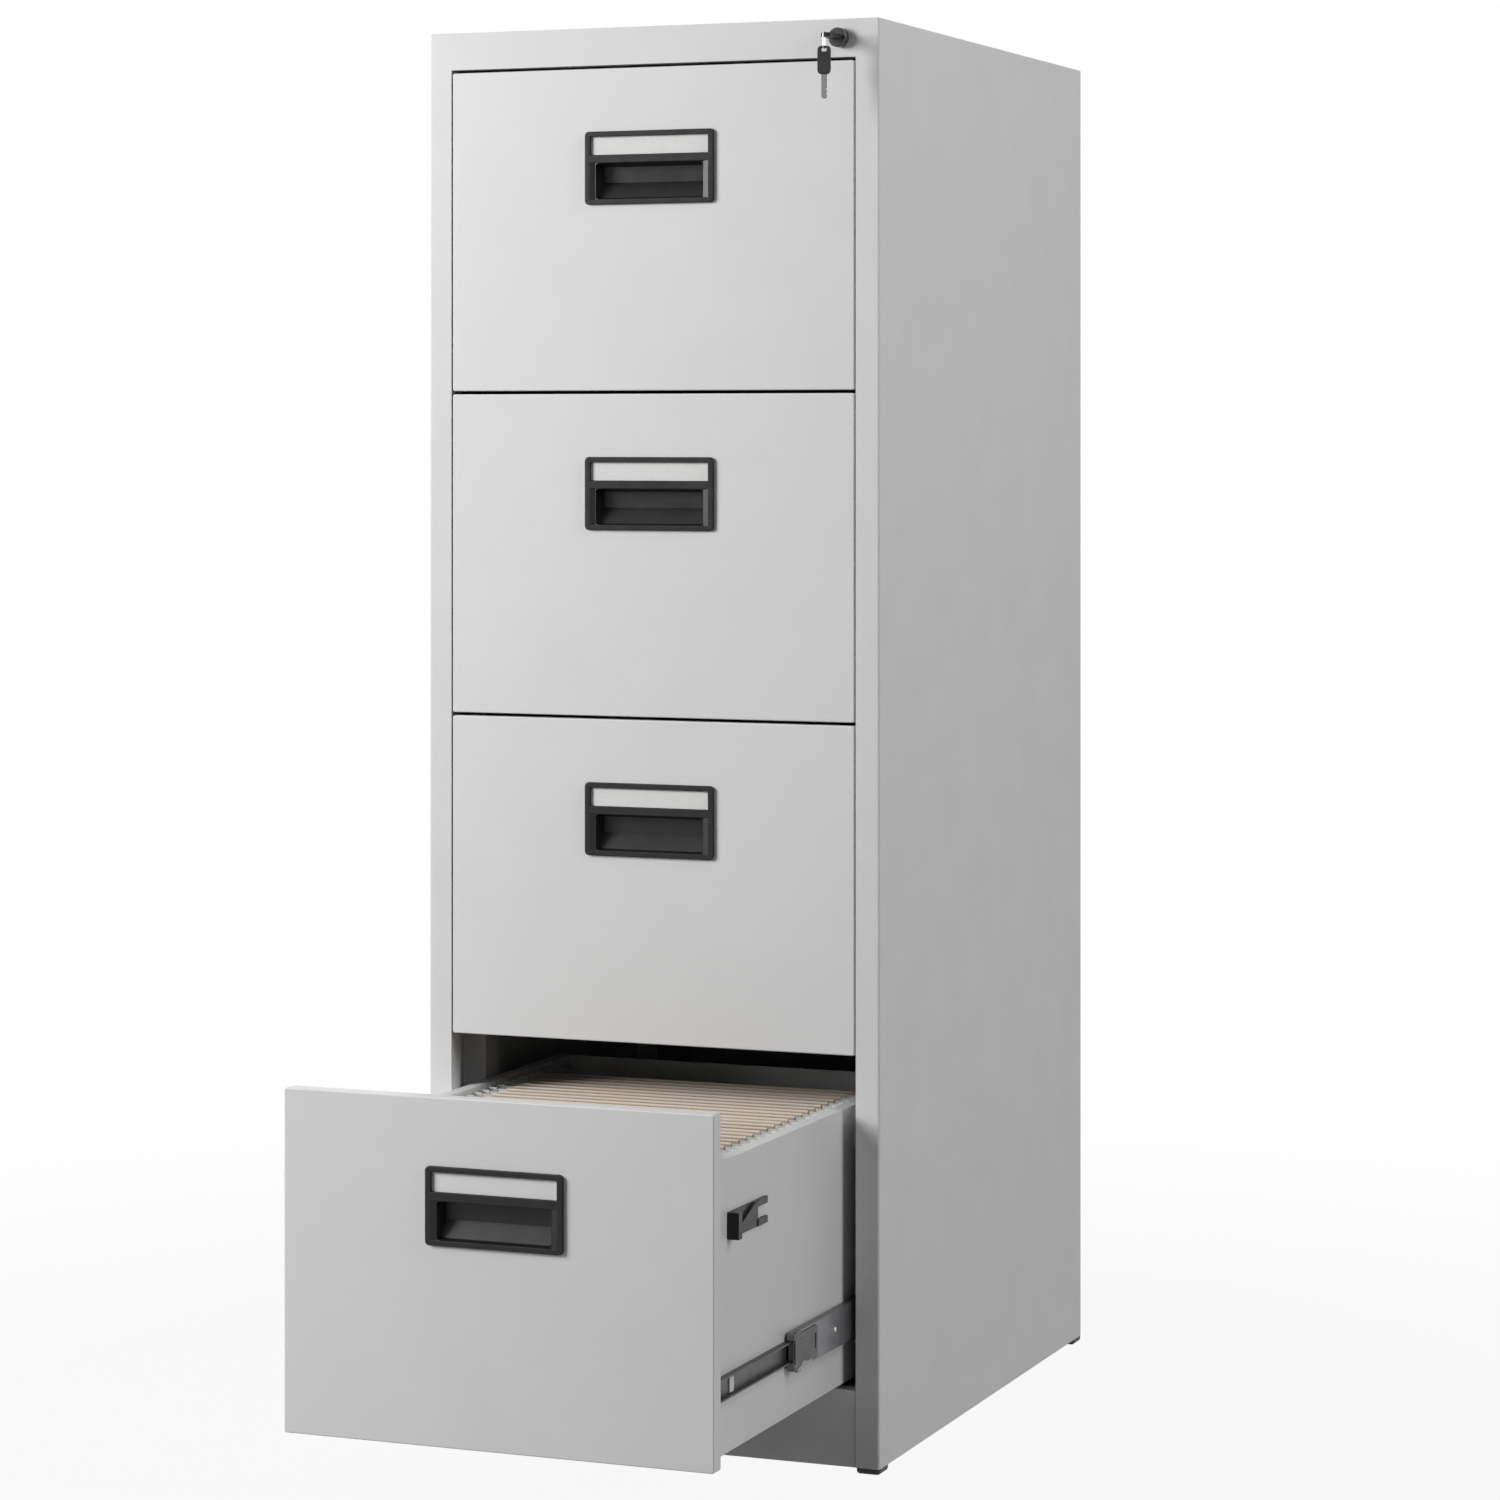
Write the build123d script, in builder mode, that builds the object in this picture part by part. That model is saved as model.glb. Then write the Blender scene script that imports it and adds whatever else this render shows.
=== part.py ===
from build123d import *

import os
from math import cos, pi, radians, sin

# Four-drawer steel filing cabinet, key locking, with its bottom drawer standing open.
# Millimetres. +Z is up, +X is the right-hand side as seen from the front, and the fronts face -Y.
# The origin is on the floor, under the middle of the whole box with the open drawer.

# Carcass
cabinet_width = 455.0
cabinet_depth = 620.0
cabinet_height = 1330.0
sheet = 0.8
foot_height = 5.5
stile_width = 23.0
fold_depth = 20.0
corner_radius = 2.0
top_edge_radius = 0.7
top_rail_height = 35.0
plinth_height = 70.0
plinth_end_gap = 0.4
plinth_setback = 0.5
rear_flange = 19.0
panel_gap = 0.1
base_lift = 25.0
base_flange = 15.0

# Drawer fronts
drawer_count = 4
side_gap = 1.5
between_gap = 3.0
below_gap = 1.5
front_thickness = 15.0
front_corner = 2.0
front_edge = 1.2
liner_depth = 11.0
liner_gap = 0.2
drawer_out = 340.0

# Drawer bodies
slide_thickness = 12.7
slide_side_gap = 0.7
body_length = 547.0
body_lift = 4.0
side_below_front_top = 47.0
front_tab = 14.0
top_flange = 12.0
top_lip = 10.0
bead_spacing = 252.0
bead_width = 8.0
bead_depth = 1.5
rail_thickness = 2.0
rail_sheet = 1.2
rail_height = 12.0
rail_drop = 9.0
rail_end_gap = 10.0

# Recessed grip with its label frame
grip_width = 130.0
grip_height = 68.5
grip_drop = 59.0
grip_proud = 3.2
grip_corner = 4.0
grip_edge = 1.0
grip_side_bar = 5.5
grip_top_bar = 5.0
window_height = 17.0
grip_middle_bar = 7.6
cup_side_bar = 10.5
cup_landing = 5.5
cup_landing_drop = 1.6
inner_edge = 0.8
cup_height = 34.0
cup_corner = 2.0
cup_depth = 12.0
cup_wall = 1.5
cup_draft = 12.0
cup_clearance = 0.5
scoop_lip = 3.0
scoop_height = 16.0
card_margin = 2.0
card_thickness = 0.4
card_clearance = 0.3

# Telescopic slides: an inner member on the drawer, a middle one, and an outer one on the posts
slide_height = 46.0
slide_length = 550.0
slide_setback = 20.0
slide_axis_lift = 62.5
outer_sheet = 1.2
outer_reach = 9.2
middle_height = 34.0
middle_setback = 26.0
middle_length = 500.0
middle_sheet = 1.2
middle_gap = 2.5
middle_reach = 6.6
inner_height = 19.0
inner_setback = 26.0
inner_length = 534.0
inner_sheet = 1.4
inner_reach = 6.4
ball_clearance = 0.3
ball_pitch = 36.0
balls_per_cage = 5
cage_thickness = 0.8
cage_height = 2.4
outer_cage_start = 330.0
inner_cage_start = 40.0

# Posts and the rivets that hold the slides on them
post_width = 30.0
front_post_setback = 75.0
rear_post_setback = 500.0
post_sheet = 1.2
post_end_gap = 12.0
rivet_diameter = 4.0
rivet_head_diameter = 7.0
rivet_head_height = 0.8
rivet_tail_height = 1.4
rivet_clearance = 0.1

# Catch on each drawer's right side
catch_setback = 59.0
catch_lift = 186.0
catch_height = 23.0
catch_length = 67.0
catch_plate = 2.2
tooth_length = 8.0
tooth_reach = 11.0
prong_length = 21.0
prong_root = 1.0
prong_height = 6.0
prong_thickness = 3.0
ramp_height = 5.0
ramp_reach = 5.0

# Lock
lock_inset = 38.5
lock_drop = 17.4
lock_face_diameter = 18.0
lock_proud = 8.0
lock_face_edge = 1.5
barrel_diameter = 15.0
barrel_length = 24.0
barrel_clearance = 0.2
nut_flats = 20.0
nut_thickness = 3.5
nut_clearance = 0.1
plug_diameter = 11.9
plug_clearance = 0.08
plug_proud = 0.4
tail_diameter = 8.0
tail_end_gap = 0.7
cam_gap = 1.0
cam_thickness = 2.0
cam_hub_radius = 6.5
cam_bore_clearance = 0.05
cam_arm_width = 7.0
pin_offset = 8.0
pin_diameter = 3.0
pin_length = 5.0
key_turn = 90.0

# Lock bar with one hook for each drawer
bar_clear_of_slides = 2.8
bar_thickness = 2.5
bar_width = 28.0
bar_below_hook = 13.0
head_gap = 1.0
head_height = 15.0
head_past_axis = 1.0
slot_clearance = 0.45
hook_height = 12.0
hook_drop = 3.0
hook_plate_gap = 4.5
guide_wall = 1.2
guide_clearance = 0.4
guide_height = 20.0
guide_end_wall = 3.6

# Keys
bow_width = 12.2
bow_length = 26.0
bow_thickness = 3.6
bow_tip_radius = 5.0
bow_root_radius = 1.2
bow_gap = 3.0
blade_width = 5.2
blade_length = 22.0
blade_thickness = 1.6
blade_tongue = 9.0
blade_tip_chamfer = 1.5
blade_clearance = 0.15
tongue_clearance = 0.05
notch_depth = 1.1
notch_pitch = 3.2
notch_count = 4
bow_rim = 1.9
bow_hole_width = 6.0
bow_hole_height = 3.4
link_wire = 1.0
link_width = 5.4
link_above = 2.8
link_offset = 1.8
link_drop = 12.7

# Hanging folders in the open drawer
folder_count = 12
folder_pitch = 34.4
first_folder_setback = 79.0
folder_card = 1.0
folder_spread = 8.0
folder_floor_gap = 12.0
folder_side_gap = 3.0
rod_thickness = 1.2
rod_height = 8.0
rod_overhang = 5.0
rod_end_gap = 1.2
rod_notch_depth = 3.0
rod_notch_clearance = 0.5

# Feet
foot_depth = 26.0
foot_corner = 3.5
foot_edge = 3.0
foot_plug_height = 16.0
foot_plug_gap = 0.5

# Faces and heights that everything else is placed by
front_y = -(cabinet_depth - drawer_out - grip_proud) / 2
back_y = front_y + cabinet_depth
half_width = cabinet_width / 2
wall_x = half_width - sheet
opening_x = half_width - stile_width
front_width = 2 * (opening_x - side_gap)
top_sheet_z = cabinet_height - sheet
opening_top = cabinet_height - top_rail_height
opening_bottom = foot_height + plinth_height
gaps_height = between_gap * drawer_count + below_gap
front_height = (opening_top - opening_bottom - gaps_height) / drawer_count
drawer_pitch = front_height + between_gap
post_x = front_width / 2 + slide_side_gap
side_x = post_x - slide_thickness
body_height = front_height - body_lift - side_below_front_top
rear_wall_setback = front_thickness + body_length
flange_edge_x = side_x - top_flange
rail_outer_x = flange_edge_x - rail_sheet - rod_end_gap - rod_overhang
rail_inner_x = rail_outer_x - rail_thickness
bar_x = post_x + bar_clear_of_slides
lock_x = half_width - lock_inset
lock_z = cabinet_height - lock_drop
lock_face_y = front_y - lock_proud
barrel_end_y = front_y + barrel_length
cam_y = barrel_end_y + cam_gap
head_y = cam_y + cam_thickness + head_gap
bar_lift = 2 * pin_offset * sin(radians(key_turn / 2))
pin_x = lock_x + pin_offset * cos(radians(key_turn / 2))
pin_z = lock_z - pin_offset * sin(radians(key_turn / 2))

os.makedirs("parts", exist_ok=True)


def keep(piece, name):
    """Name a finished piece and write its file."""
    piece.part.label = name
    export_step(piece.part, f"parts/{name}.step")


def block(x_faces, y_faces, z_faces, mode=Mode.ADD):
    """Add or cut a block, given by its two faces along each axis."""
    middle = [(low + high) / 2 for low, high in (x_faces, y_faces, z_faces)]
    with Locations(tuple(middle)):
        Box(
            abs(x_faces[1] - x_faces[0]),
            abs(y_faces[1] - y_faces[0]),
            abs(z_faces[1] - z_faces[0]),
            mode=mode,
        )


def both_sides(low, high):
    """The right-hand and left-hand pair of x faces for a pair of like features."""
    return ((low, high), (-high, -low))


def drawer_bottom(number):
    """Height of the bottom edge of a front. Drawer 1 is the top one."""
    return opening_bottom + below_gap + drawer_pitch * (drawer_count - number)


def drawer_face(number):
    """Where a drawer's front face stands. Only the bottom drawer is open."""
    return front_y - (drawer_out if number == drawer_count else 0)


def side_panel(side):
    """A side of the cabinet, folded round into its front stile and into a flange at the back."""
    outline = (
        (opening_x, front_y),
        (half_width, front_y),
        (half_width, back_y),
        (half_width - rear_flange, back_y),
        (half_width - rear_flange, back_y - sheet),
        (wall_x, back_y - sheet),
        (wall_x, front_y + sheet),
        (opening_x + sheet, front_y + sheet),
        (opening_x + sheet, front_y + fold_depth),
        (opening_x, front_y + fold_depth),
    )
    with BuildPart() as panel:
        with BuildSketch(Plane.XY.offset(foot_height)) as section:
            with BuildLine():
                Polyline(*[(side * x, y) for x, y in outline], close=True)
            make_face()
            for corner_y, inner_y in ((front_y, front_y + sheet), (back_y, back_y - sheet)):
                outer_corner = section.vertices().sort_by_distance((side * half_width, corner_y))[0]
                fillet(outer_corner, corner_radius)
                inner_corner = section.vertices().sort_by_distance((side * wall_x, inner_y))[0]
                fillet(inner_corner, corner_radius - sheet)
        extrude(amount=top_sheet_z - foot_height)
    return panel


right_side_panel = side_panel(1)
keep(right_side_panel, "right_side_panel")
left_side_panel = side_panel(-1)
keep(left_side_panel, "left_side_panel")

# Top: one sheet that lies on the sides, with the top rail folded down in front and a flange behind
with BuildPart() as top_panel:
    block((-half_width, half_width), (front_y, back_y), (top_sheet_z, cabinet_height))
    fillet(top_panel.edges().filter_by(Axis.Z), corner_radius)
    fillet(top_panel.faces().sort_by(Axis.Z)[-1].edges(), top_edge_radius)
    block((-opening_x, opening_x), (front_y, front_y + sheet), (opening_top, top_sheet_z))
    block((-opening_x, opening_x), (front_y, front_y + fold_depth), (opening_top, opening_top + sheet))
    flange_half = half_width - rear_flange - panel_gap
    block((-flange_half, flange_half), (back_y - sheet, back_y), (top_sheet_z - rear_flange, top_sheet_z))
    with BuildSketch(Plane.XZ.offset(-front_y)):
        with Locations((lock_x, lock_z)):
            Circle(barrel_diameter / 2 + barrel_clearance)
    extrude(amount=-sheet, mode=Mode.SUBTRACT)
keep(top_panel, "top_panel")

# Back: a flat sheet inside the flanges of the sides and the top
with BuildPart() as back_panel:
    back_half = wall_x - (corner_radius - sheet) - panel_gap
    block((-back_half, back_half), (back_y - 2 * sheet, back_y - sheet), (foot_height, top_sheet_z))
keep(back_panel, "back_panel")

# Plinth: a front strip with a fold along its top and its bottom
with BuildPart() as plinth:
    plinth_half = opening_x - plinth_end_gap
    plinth_face = front_y + plinth_setback
    plinth_rear = front_y + fold_depth
    block((-plinth_half, plinth_half), (plinth_face, plinth_face + sheet), (foot_height, opening_bottom))
    block((-plinth_half, plinth_half), (plinth_face, plinth_rear), (opening_bottom - sheet, opening_bottom))
    block((-plinth_half, plinth_half), (plinth_face, plinth_rear), (foot_height, foot_height + sheet))
keep(plinth, "plinth")

# Base: a pan between the sides, behind the plinth's folds, with its rim turned down
with BuildPart() as base_pan:
    base_half = wall_x
    base_front = front_y + fold_depth
    base_rear = back_y - 2 * sheet
    base_z = foot_height + base_lift
    block((-base_half, base_half), (base_front, base_rear), (base_z - base_flange, base_z))
    fillet(base_pan.edges().filter_by(Axis.Z).group_by(Axis.Y)[-1], corner_radius)
    block(
        (-base_half + sheet, base_half - sheet),
        (base_front + sheet, base_rear - sheet),
        (base_z - base_flange, base_z - sheet),
        mode=Mode.SUBTRACT,
    )
keep(base_pan, "base_pan")

# Feet: a moulded pad under each corner, with a plug that fills the folded corner above it
with BuildPart() as feet:
    foot_x = half_width - stile_width / 2
    foot_ys = (front_y + foot_depth / 2, back_y - foot_depth / 2)
    foot_centres = [(x, y) for x in (foot_x, -foot_x) for y in foot_ys]
    with BuildSketch():
        with Locations(*foot_centres):
            RectangleRounded(stile_width, foot_depth, foot_corner)
    extrude(amount=foot_height)
    fillet(feet.faces().group_by(Axis.Z)[0].edges(), foot_edge)
    plug_inner = opening_x + sheet + foot_plug_gap
    for x_low, x_high in both_sides(plug_inner, wall_x - foot_plug_gap):
        front_plug = (front_y + sheet + foot_plug_gap, front_y + fold_depth)
        rear_plug = (back_y - foot_depth, back_y - 2 * sheet - foot_plug_gap)
        for y_low, y_high in (front_plug, rear_plug):
            plug_top = min(foot_plug_height, base_lift - base_flange) - foot_plug_gap
            block((x_low, x_high), (y_low, y_high), (foot_height, foot_height + plug_top))
keep(feet, "feet")


def post_centres():
    """The y centres of the front and the rear posts."""
    return [front_y + setback + post_width / 2 for setback in (front_post_setback, rear_post_setback)]


def rivet_heights():
    """The heights of the slides, one for each drawer."""
    return [drawer_bottom(number) + slide_axis_lift for number in range(1, drawer_count + 1)]


# Posts: four uprights folded to a C, their backs to the slides and their edges on the sides
with BuildPart() as slide_posts:
    with BuildSketch(Plane.XY.offset(base_z)):
        for centre_y in post_centres():
            with Locations(((post_x + wall_x) / 2, centre_y)):
                Rectangle(wall_x - post_x, post_width)
            with Locations(((post_x + post_sheet + wall_x) / 2, centre_y)):
                Rectangle(wall_x - post_x - post_sheet, post_width - 2 * post_sheet, mode=Mode.SUBTRACT)
    extrude(amount=opening_top - post_end_gap - base_z)
    with BuildSketch(Plane.YZ.offset(post_x)):
        with Locations(*[(y, z) for y in post_centres() for z in rivet_heights()]):
            Circle(rivet_diameter / 2 + rivet_clearance)
    extrude(amount=post_sheet, mode=Mode.SUBTRACT)
    mirror(about=Plane.YZ)
keep(slide_posts, "slide_posts")


def channel_outline(web_x, tip_x, height, thickness, centre_z):
    """Corner points of a C-shaped slide member, from its web to the tips of its flanges."""
    toward = 1 if tip_x > web_x else -1
    inside_x = web_x + toward * thickness
    top = centre_z + height / 2
    bottom = centre_z - height / 2
    return (
        (web_x, bottom),
        (tip_x, bottom),
        (tip_x, bottom + thickness),
        (inside_x, bottom + thickness),
        (inside_x, top - thickness),
        (tip_x, top - thickness),
        (tip_x, top),
        (web_x, top),
    )


# Outer slide members: eight fixed channels, each riveted to a front and a rear post
with BuildPart() as slide_outer_members:
    for slide_z in rivet_heights():
        with BuildSketch(Plane.XZ.offset(-(front_y + slide_setback))):
            with BuildLine():
                outline = channel_outline(post_x, post_x - outer_reach, slide_height, outer_sheet, slide_z)
                Polyline(*outline, close=True)
            make_face()
        extrude(amount=-slide_length)
    with BuildSketch(Plane.YZ.offset(post_x - outer_sheet)):
        with Locations(*[(y, z) for y in post_centres() for z in rivet_heights()]):
            Circle(rivet_diameter / 2 + rivet_clearance)
    extrude(amount=outer_sheet, mode=Mode.SUBTRACT)
    mirror(about=Plane.YZ)
keep(slide_outer_members, "slide_outer_members")

# Rivets: a flat head inside each outer member and a formed tail inside the post
with BuildPart() as slide_rivets:
    rivet_places = [(y, z) for y in post_centres() for z in rivet_heights()]
    grip_end = post_x + post_sheet
    for plane_x, radius, length in (
        (post_x - outer_sheet - rivet_head_height, rivet_head_diameter / 2, rivet_head_height),
        (post_x - outer_sheet, rivet_diameter / 2, outer_sheet + post_sheet),
        (grip_end, rivet_head_diameter / 2, rivet_tail_height),
    ):
        with BuildSketch(Plane.YZ.offset(plane_x)):
            with Locations(*rivet_places):
                Circle(radius)
        extrude(amount=length)
    mirror(about=Plane.YZ)
keep(slide_rivets, "slide_rivets")


def grip_frame(bottom_z):
    """Heights of the grip's parts above the floor: its frame, its label window and its cup."""
    top = bottom_z + front_height - grip_drop
    window_top = top - grip_top_bar
    window_bottom = window_top - window_height
    cup_top = window_bottom - grip_middle_bar
    return {
        "frame": (top - grip_height, top),
        "window": (window_bottom, window_top),
        "cup": (cup_top - cup_height, cup_top),
    }


def drawer_front(face_y, bottom_z):
    """The painted outer pan of a front: a face and four returns, with the cup's cut-out."""
    middle_z = bottom_z + front_height / 2
    cup_low, cup_high = grip_frame(bottom_z)["cup"]
    cup_half = grip_width / 2 - cup_side_bar + cup_wall + cup_clearance
    with BuildPart() as pan:
        with BuildSketch(Plane.XZ.offset(-face_y)):
            with Locations((0, middle_z)):
                RectangleRounded(front_width, front_height, front_corner)
        extrude(amount=-front_thickness)
        fillet(pan.faces().sort_by(Axis.Y)[0].edges(), front_edge)
        with BuildSketch(Plane.XZ.offset(-(face_y + sheet))):
            with Locations((0, middle_z)):
                Rectangle(front_width - 2 * sheet, front_height - 2 * sheet)
        extrude(amount=-(front_thickness - sheet), mode=Mode.SUBTRACT)
        block(
            (-cup_half, cup_half),
            (face_y, face_y + sheet),
            (cup_low - cup_wall - cup_clearance, cup_high + cup_wall + cup_clearance),
            mode=Mode.SUBTRACT,
        )
    return pan


def front_liner(face_y, bottom_z):
    """The inner skin of a front: a shallow pan that closes the outer one from behind."""
    half = front_width / 2 - sheet - liner_gap
    low = bottom_z + sheet + liner_gap
    high = bottom_z + front_height - sheet - liner_gap
    rear = face_y + front_thickness
    with BuildPart() as liner:
        block((-half, half), (rear - liner_depth, rear), (low, high))
        block(
            (-half + sheet, half - sheet),
            (rear - liner_depth, rear - sheet),
            (low + sheet, high - sheet),
            mode=Mode.SUBTRACT,
        )
    return liner


def drawer_body(face_y, bottom_z):
    """The tray: floor, sides and rear wall in one folded sheet, open at the top and the front."""
    front = face_y + front_thickness
    rear = front + body_length
    low = bottom_z + body_lift
    high = low + body_height
    lip_x = flange_edge_x + sheet
    with BuildPart() as body:
        block((-side_x, side_x), (front, rear), (low, high))
        inside_x = side_x - sheet
        block((-inside_x, inside_x), (front, rear - sheet), (low + sheet, high), mode=Mode.SUBTRACT)
        for x_faces in both_sides(inside_x - front_tab, inside_x):
            block(x_faces, (front, front + sheet), (low, high))
        block((-inside_x, inside_x), (front, front + sheet), (low, low + front_tab))
        for x_faces in both_sides(flange_edge_x, inside_x):
            block(x_faces, (front, rear - sheet), (high - sheet, high))
        for x_faces in both_sides(flange_edge_x, lip_x):
            block(x_faces, (front, rear - sheet), (high - top_lip, high))
        for bead_x in (-bead_spacing / 2, bead_spacing / 2):
            bead_faces = (bead_x - bead_width / 2, bead_x + bead_width / 2)
            block(bead_faces, (rear - sheet - bead_depth, rear - sheet), (low + sheet, high))
    return body


def hanging_rails(face_y, bottom_z):
    """Two channels inside the sides. Their inner edges stand up and carry the folders' rods."""
    front = face_y + front_thickness + rail_end_gap
    rear = face_y + rear_wall_setback - sheet - rail_end_gap
    side_top = bottom_z + body_lift + body_height
    high = side_top - rail_drop
    low = high - rail_height
    with BuildPart() as rails:
        for x_faces in both_sides(rail_inner_x, rail_outer_x):
            block(x_faces, (front, rear), (low, high))
        for x_faces in both_sides(rail_inner_x, flange_edge_x):
            block(x_faces, (front, rear), (low, low + rail_sheet))
        for x_faces in both_sides(flange_edge_x - rail_sheet, flange_edge_x):
            block(x_faces, (front, rear), (low, side_top - sheet))
    return rails


def drawer_grip(face_y, bottom_z):
    """The moulded grip: a raised frame, a label window, and a finger cup with a sloping floor."""
    heights = grip_frame(bottom_z)
    low, high = heights["frame"]
    window_low, window_high = heights["window"]
    cup_low, cup_high = heights["cup"]
    window_half = grip_width / 2 - grip_side_bar
    cup_half = grip_width / 2 - cup_side_bar
    with BuildPart() as grip:
        with BuildSketch(Plane.XZ.offset(-face_y)):
            with Locations((0, (low + high) / 2)):
                RectangleRounded(grip_width, grip_height, grip_corner)
        extrude(amount=grip_proud)
        fillet(grip.faces().sort_by(Axis.Y)[0].edges(), grip_edge)
        cup_shell_x = (-cup_half - cup_wall, cup_half + cup_wall)
        cup_shell_z = (cup_low - cup_wall, cup_high + cup_wall)
        block(cup_shell_x, (face_y, face_y + cup_depth + cup_wall), cup_shell_z)
        with BuildSketch(Plane.XZ.offset(-face_y + grip_proud)):
            with Locations((0, (cup_low + cup_high) / 2)):
                RectangleRounded(2 * cup_half, cup_height, cup_corner)
        extrude(amount=-(grip_proud + cup_depth), taper=cup_draft, mode=Mode.SUBTRACT)
        with BuildSketch(Plane.YZ.offset(-cup_half)):
            with BuildLine():
                Polyline(
                    (face_y + scoop_lip, cup_low),
                    (face_y + cup_depth, cup_low + scoop_height),
                    (face_y + cup_depth, cup_low),
                    close=True,
                )
            make_face()
        extrude(amount=2 * cup_half)
        block(
            (-window_half, window_half),
            (face_y - grip_proud, face_y),
            (window_low, window_high),
            mode=Mode.SUBTRACT,
        )
        with BuildSketch(Plane.XY.offset(cup_low)):
            for side in (1, -1):
                with BuildLine():
                    Polyline(
                        (side * (cup_half + cup_landing), face_y - grip_proud),
                        (side * cup_half, face_y - grip_proud + cup_landing_drop),
                        (side * (cup_half - cup_landing), face_y - grip_proud),
                        close=True,
                    )
                make_face()
        extrude(amount=cup_height, mode=Mode.SUBTRACT)
        openings = grip.faces().sort_by(Axis.Y)[0].inner_wires()
        fillet([edge for wire in openings for edge in wire.edges()], inner_edge)
        block(
            (-window_half - card_margin, window_half + card_margin),
            (face_y - card_thickness, face_y),
            (window_low - card_margin, window_high + card_margin),
            mode=Mode.SUBTRACT,
        )
    return grip


def label_card(face_y, bottom_z):
    """The card that lies on the front behind the label window."""
    low, high = grip_frame(bottom_z)["window"]
    card_half = grip_width / 2 - grip_side_bar + card_margin - card_clearance
    margin = card_margin - card_clearance
    with BuildPart() as card:
        block((-card_half, card_half), (face_y - card_thickness, face_y), (low - margin, high + margin))
    return card


def slide_inners(face_y, bottom_z):
    """The pair of slide members on the drawer's sides, open outwards."""
    with BuildPart() as members:
        with BuildSketch(Plane.XZ.offset(-(face_y + inner_setback))):
            with BuildLine():
                slide_z = bottom_z + slide_axis_lift
                outline = channel_outline(side_x, side_x + inner_reach, inner_height, inner_sheet, slide_z)
                Polyline(*outline, close=True)
            make_face()
        extrude(amount=-inner_length)
        mirror(about=Plane.YZ)
    return members


def slide_middles(face_y, bottom_z):
    """The pair of middle members, open inwards, with the ball cages that run above and below them."""
    out = front_y - face_y
    start = front_y + middle_setback - out / 2
    slide_z = bottom_z + slide_axis_lift
    web_x = post_x - outer_sheet - middle_gap
    outer_race = slide_height / 2 - outer_sheet - middle_height / 2
    inner_race = middle_height / 2 - middle_sheet - inner_height / 2
    outer_ball = outer_race - 2 * ball_clearance
    inner_ball = inner_race - 2 * ball_clearance
    cages = (
        (outer_cage_start, middle_height / 2 + outer_race / 2, outer_ball),
        (inner_cage_start, inner_height / 2 + inner_race / 2, inner_ball),
    )
    ball_x = web_x - middle_sheet - ball_clearance - inner_ball / 2
    with BuildPart() as members:
        with BuildSketch(Plane.XZ.offset(-start)):
            with BuildLine():
                Polyline(
                    *channel_outline(web_x, web_x - middle_reach, middle_height, middle_sheet, slide_z),
                    close=True,
                )
            make_face()
        extrude(amount=-middle_length)
        for cage_start, race_height, ball_diameter in cages:
            first_ball = start + cage_start
            ball_ys = [first_ball + i * ball_pitch for i in range(balls_per_cage)]
            cage_length = ball_pitch * balls_per_cage
            for race_z in (slide_z + race_height, slide_z - race_height):
                block(
                    (ball_x - cage_thickness / 2, ball_x + cage_thickness / 2),
                    (first_ball - ball_pitch / 2, first_ball - ball_pitch / 2 + cage_length),
                    (race_z - cage_height / 2, race_z + cage_height / 2),
                )
                with Locations(*[(ball_x, ball_y, race_z) for ball_y in ball_ys]):
                    Sphere(ball_diameter / 2)
        mirror(about=Plane.YZ)
    return members


def drawer_catch(face_y, bottom_z):
    """The moulded catch on a drawer's right side: plate, front tooth, cam ramp and two prongs."""
    start = face_y + catch_setback
    end = start + catch_length
    low = bottom_z + catch_lift
    high = low + catch_height
    plate_x = side_x + catch_plate
    with BuildPart() as catch:
        block((side_x, plate_x), (start, end), (low, high))
        block((side_x, side_x + tooth_reach), (start, start + tooth_length), (low, high))
        for prong_faces in ((low, low + prong_height), (high - prong_height, high)):
            block((side_x, side_x + prong_thickness), (end - prong_root, end + prong_length), prong_faces)
        with BuildSketch(Plane.YZ.offset(side_x)):
            with BuildLine():
                ramp_start = start + tooth_length
                ramp_end = end - prong_height
                Polyline(
                    (ramp_start, low),
                    (ramp_start + ramp_height, low),
                    (ramp_end, high - ramp_height),
                    (ramp_end, high),
                    (ramp_end - ramp_height, high),
                    (ramp_start, low + ramp_height),
                    close=True,
                )
            make_face()
        extrude(amount=ramp_reach)
    return catch


# The four drawers, each closed but the bottom one
for number in range(1, drawer_count + 1):
    place = (drawer_face(number), drawer_bottom(number))
    keep(drawer_front(*place), f"drawer_{number}_front")
    keep(front_liner(*place), f"drawer_{number}_front_liner")
    keep(drawer_body(*place), f"drawer_{number}_body")
    keep(hanging_rails(*place), f"drawer_{number}_hanging_rails")
    keep(drawer_grip(*place), f"drawer_{number}_grip")
    keep(label_card(*place), f"drawer_{number}_label_card")
    keep(slide_inners(*place), f"drawer_{number}_slide_inners")
    keep(slide_middles(*place), f"drawer_{number}_slide_middles")
    keep(drawer_catch(*place), f"drawer_{number}_catch")

# Lock housing: a round face in front of the rail and a barrel through it, bored for the plug
with BuildPart() as lock_housing:
    with BuildSketch(Plane.XZ.offset(-front_y)):
        with Locations((lock_x, lock_z)):
            Circle(lock_face_diameter / 2)
    extrude(amount=lock_proud)
    fillet(lock_housing.faces().sort_by(Axis.Y)[0].edges(), lock_face_edge)
    with BuildSketch(Plane.XZ.offset(-front_y)):
        with Locations((lock_x, lock_z)):
            Circle(barrel_diameter / 2)
    extrude(amount=-barrel_length)
    with BuildSketch(Plane.XZ.offset(-lock_face_y)):
        with Locations((lock_x, lock_z)):
            Circle(plug_diameter / 2 + plug_clearance)
    extrude(amount=-(lock_proud + barrel_length), mode=Mode.SUBTRACT)
keep(lock_housing, "lock_housing")

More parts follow.
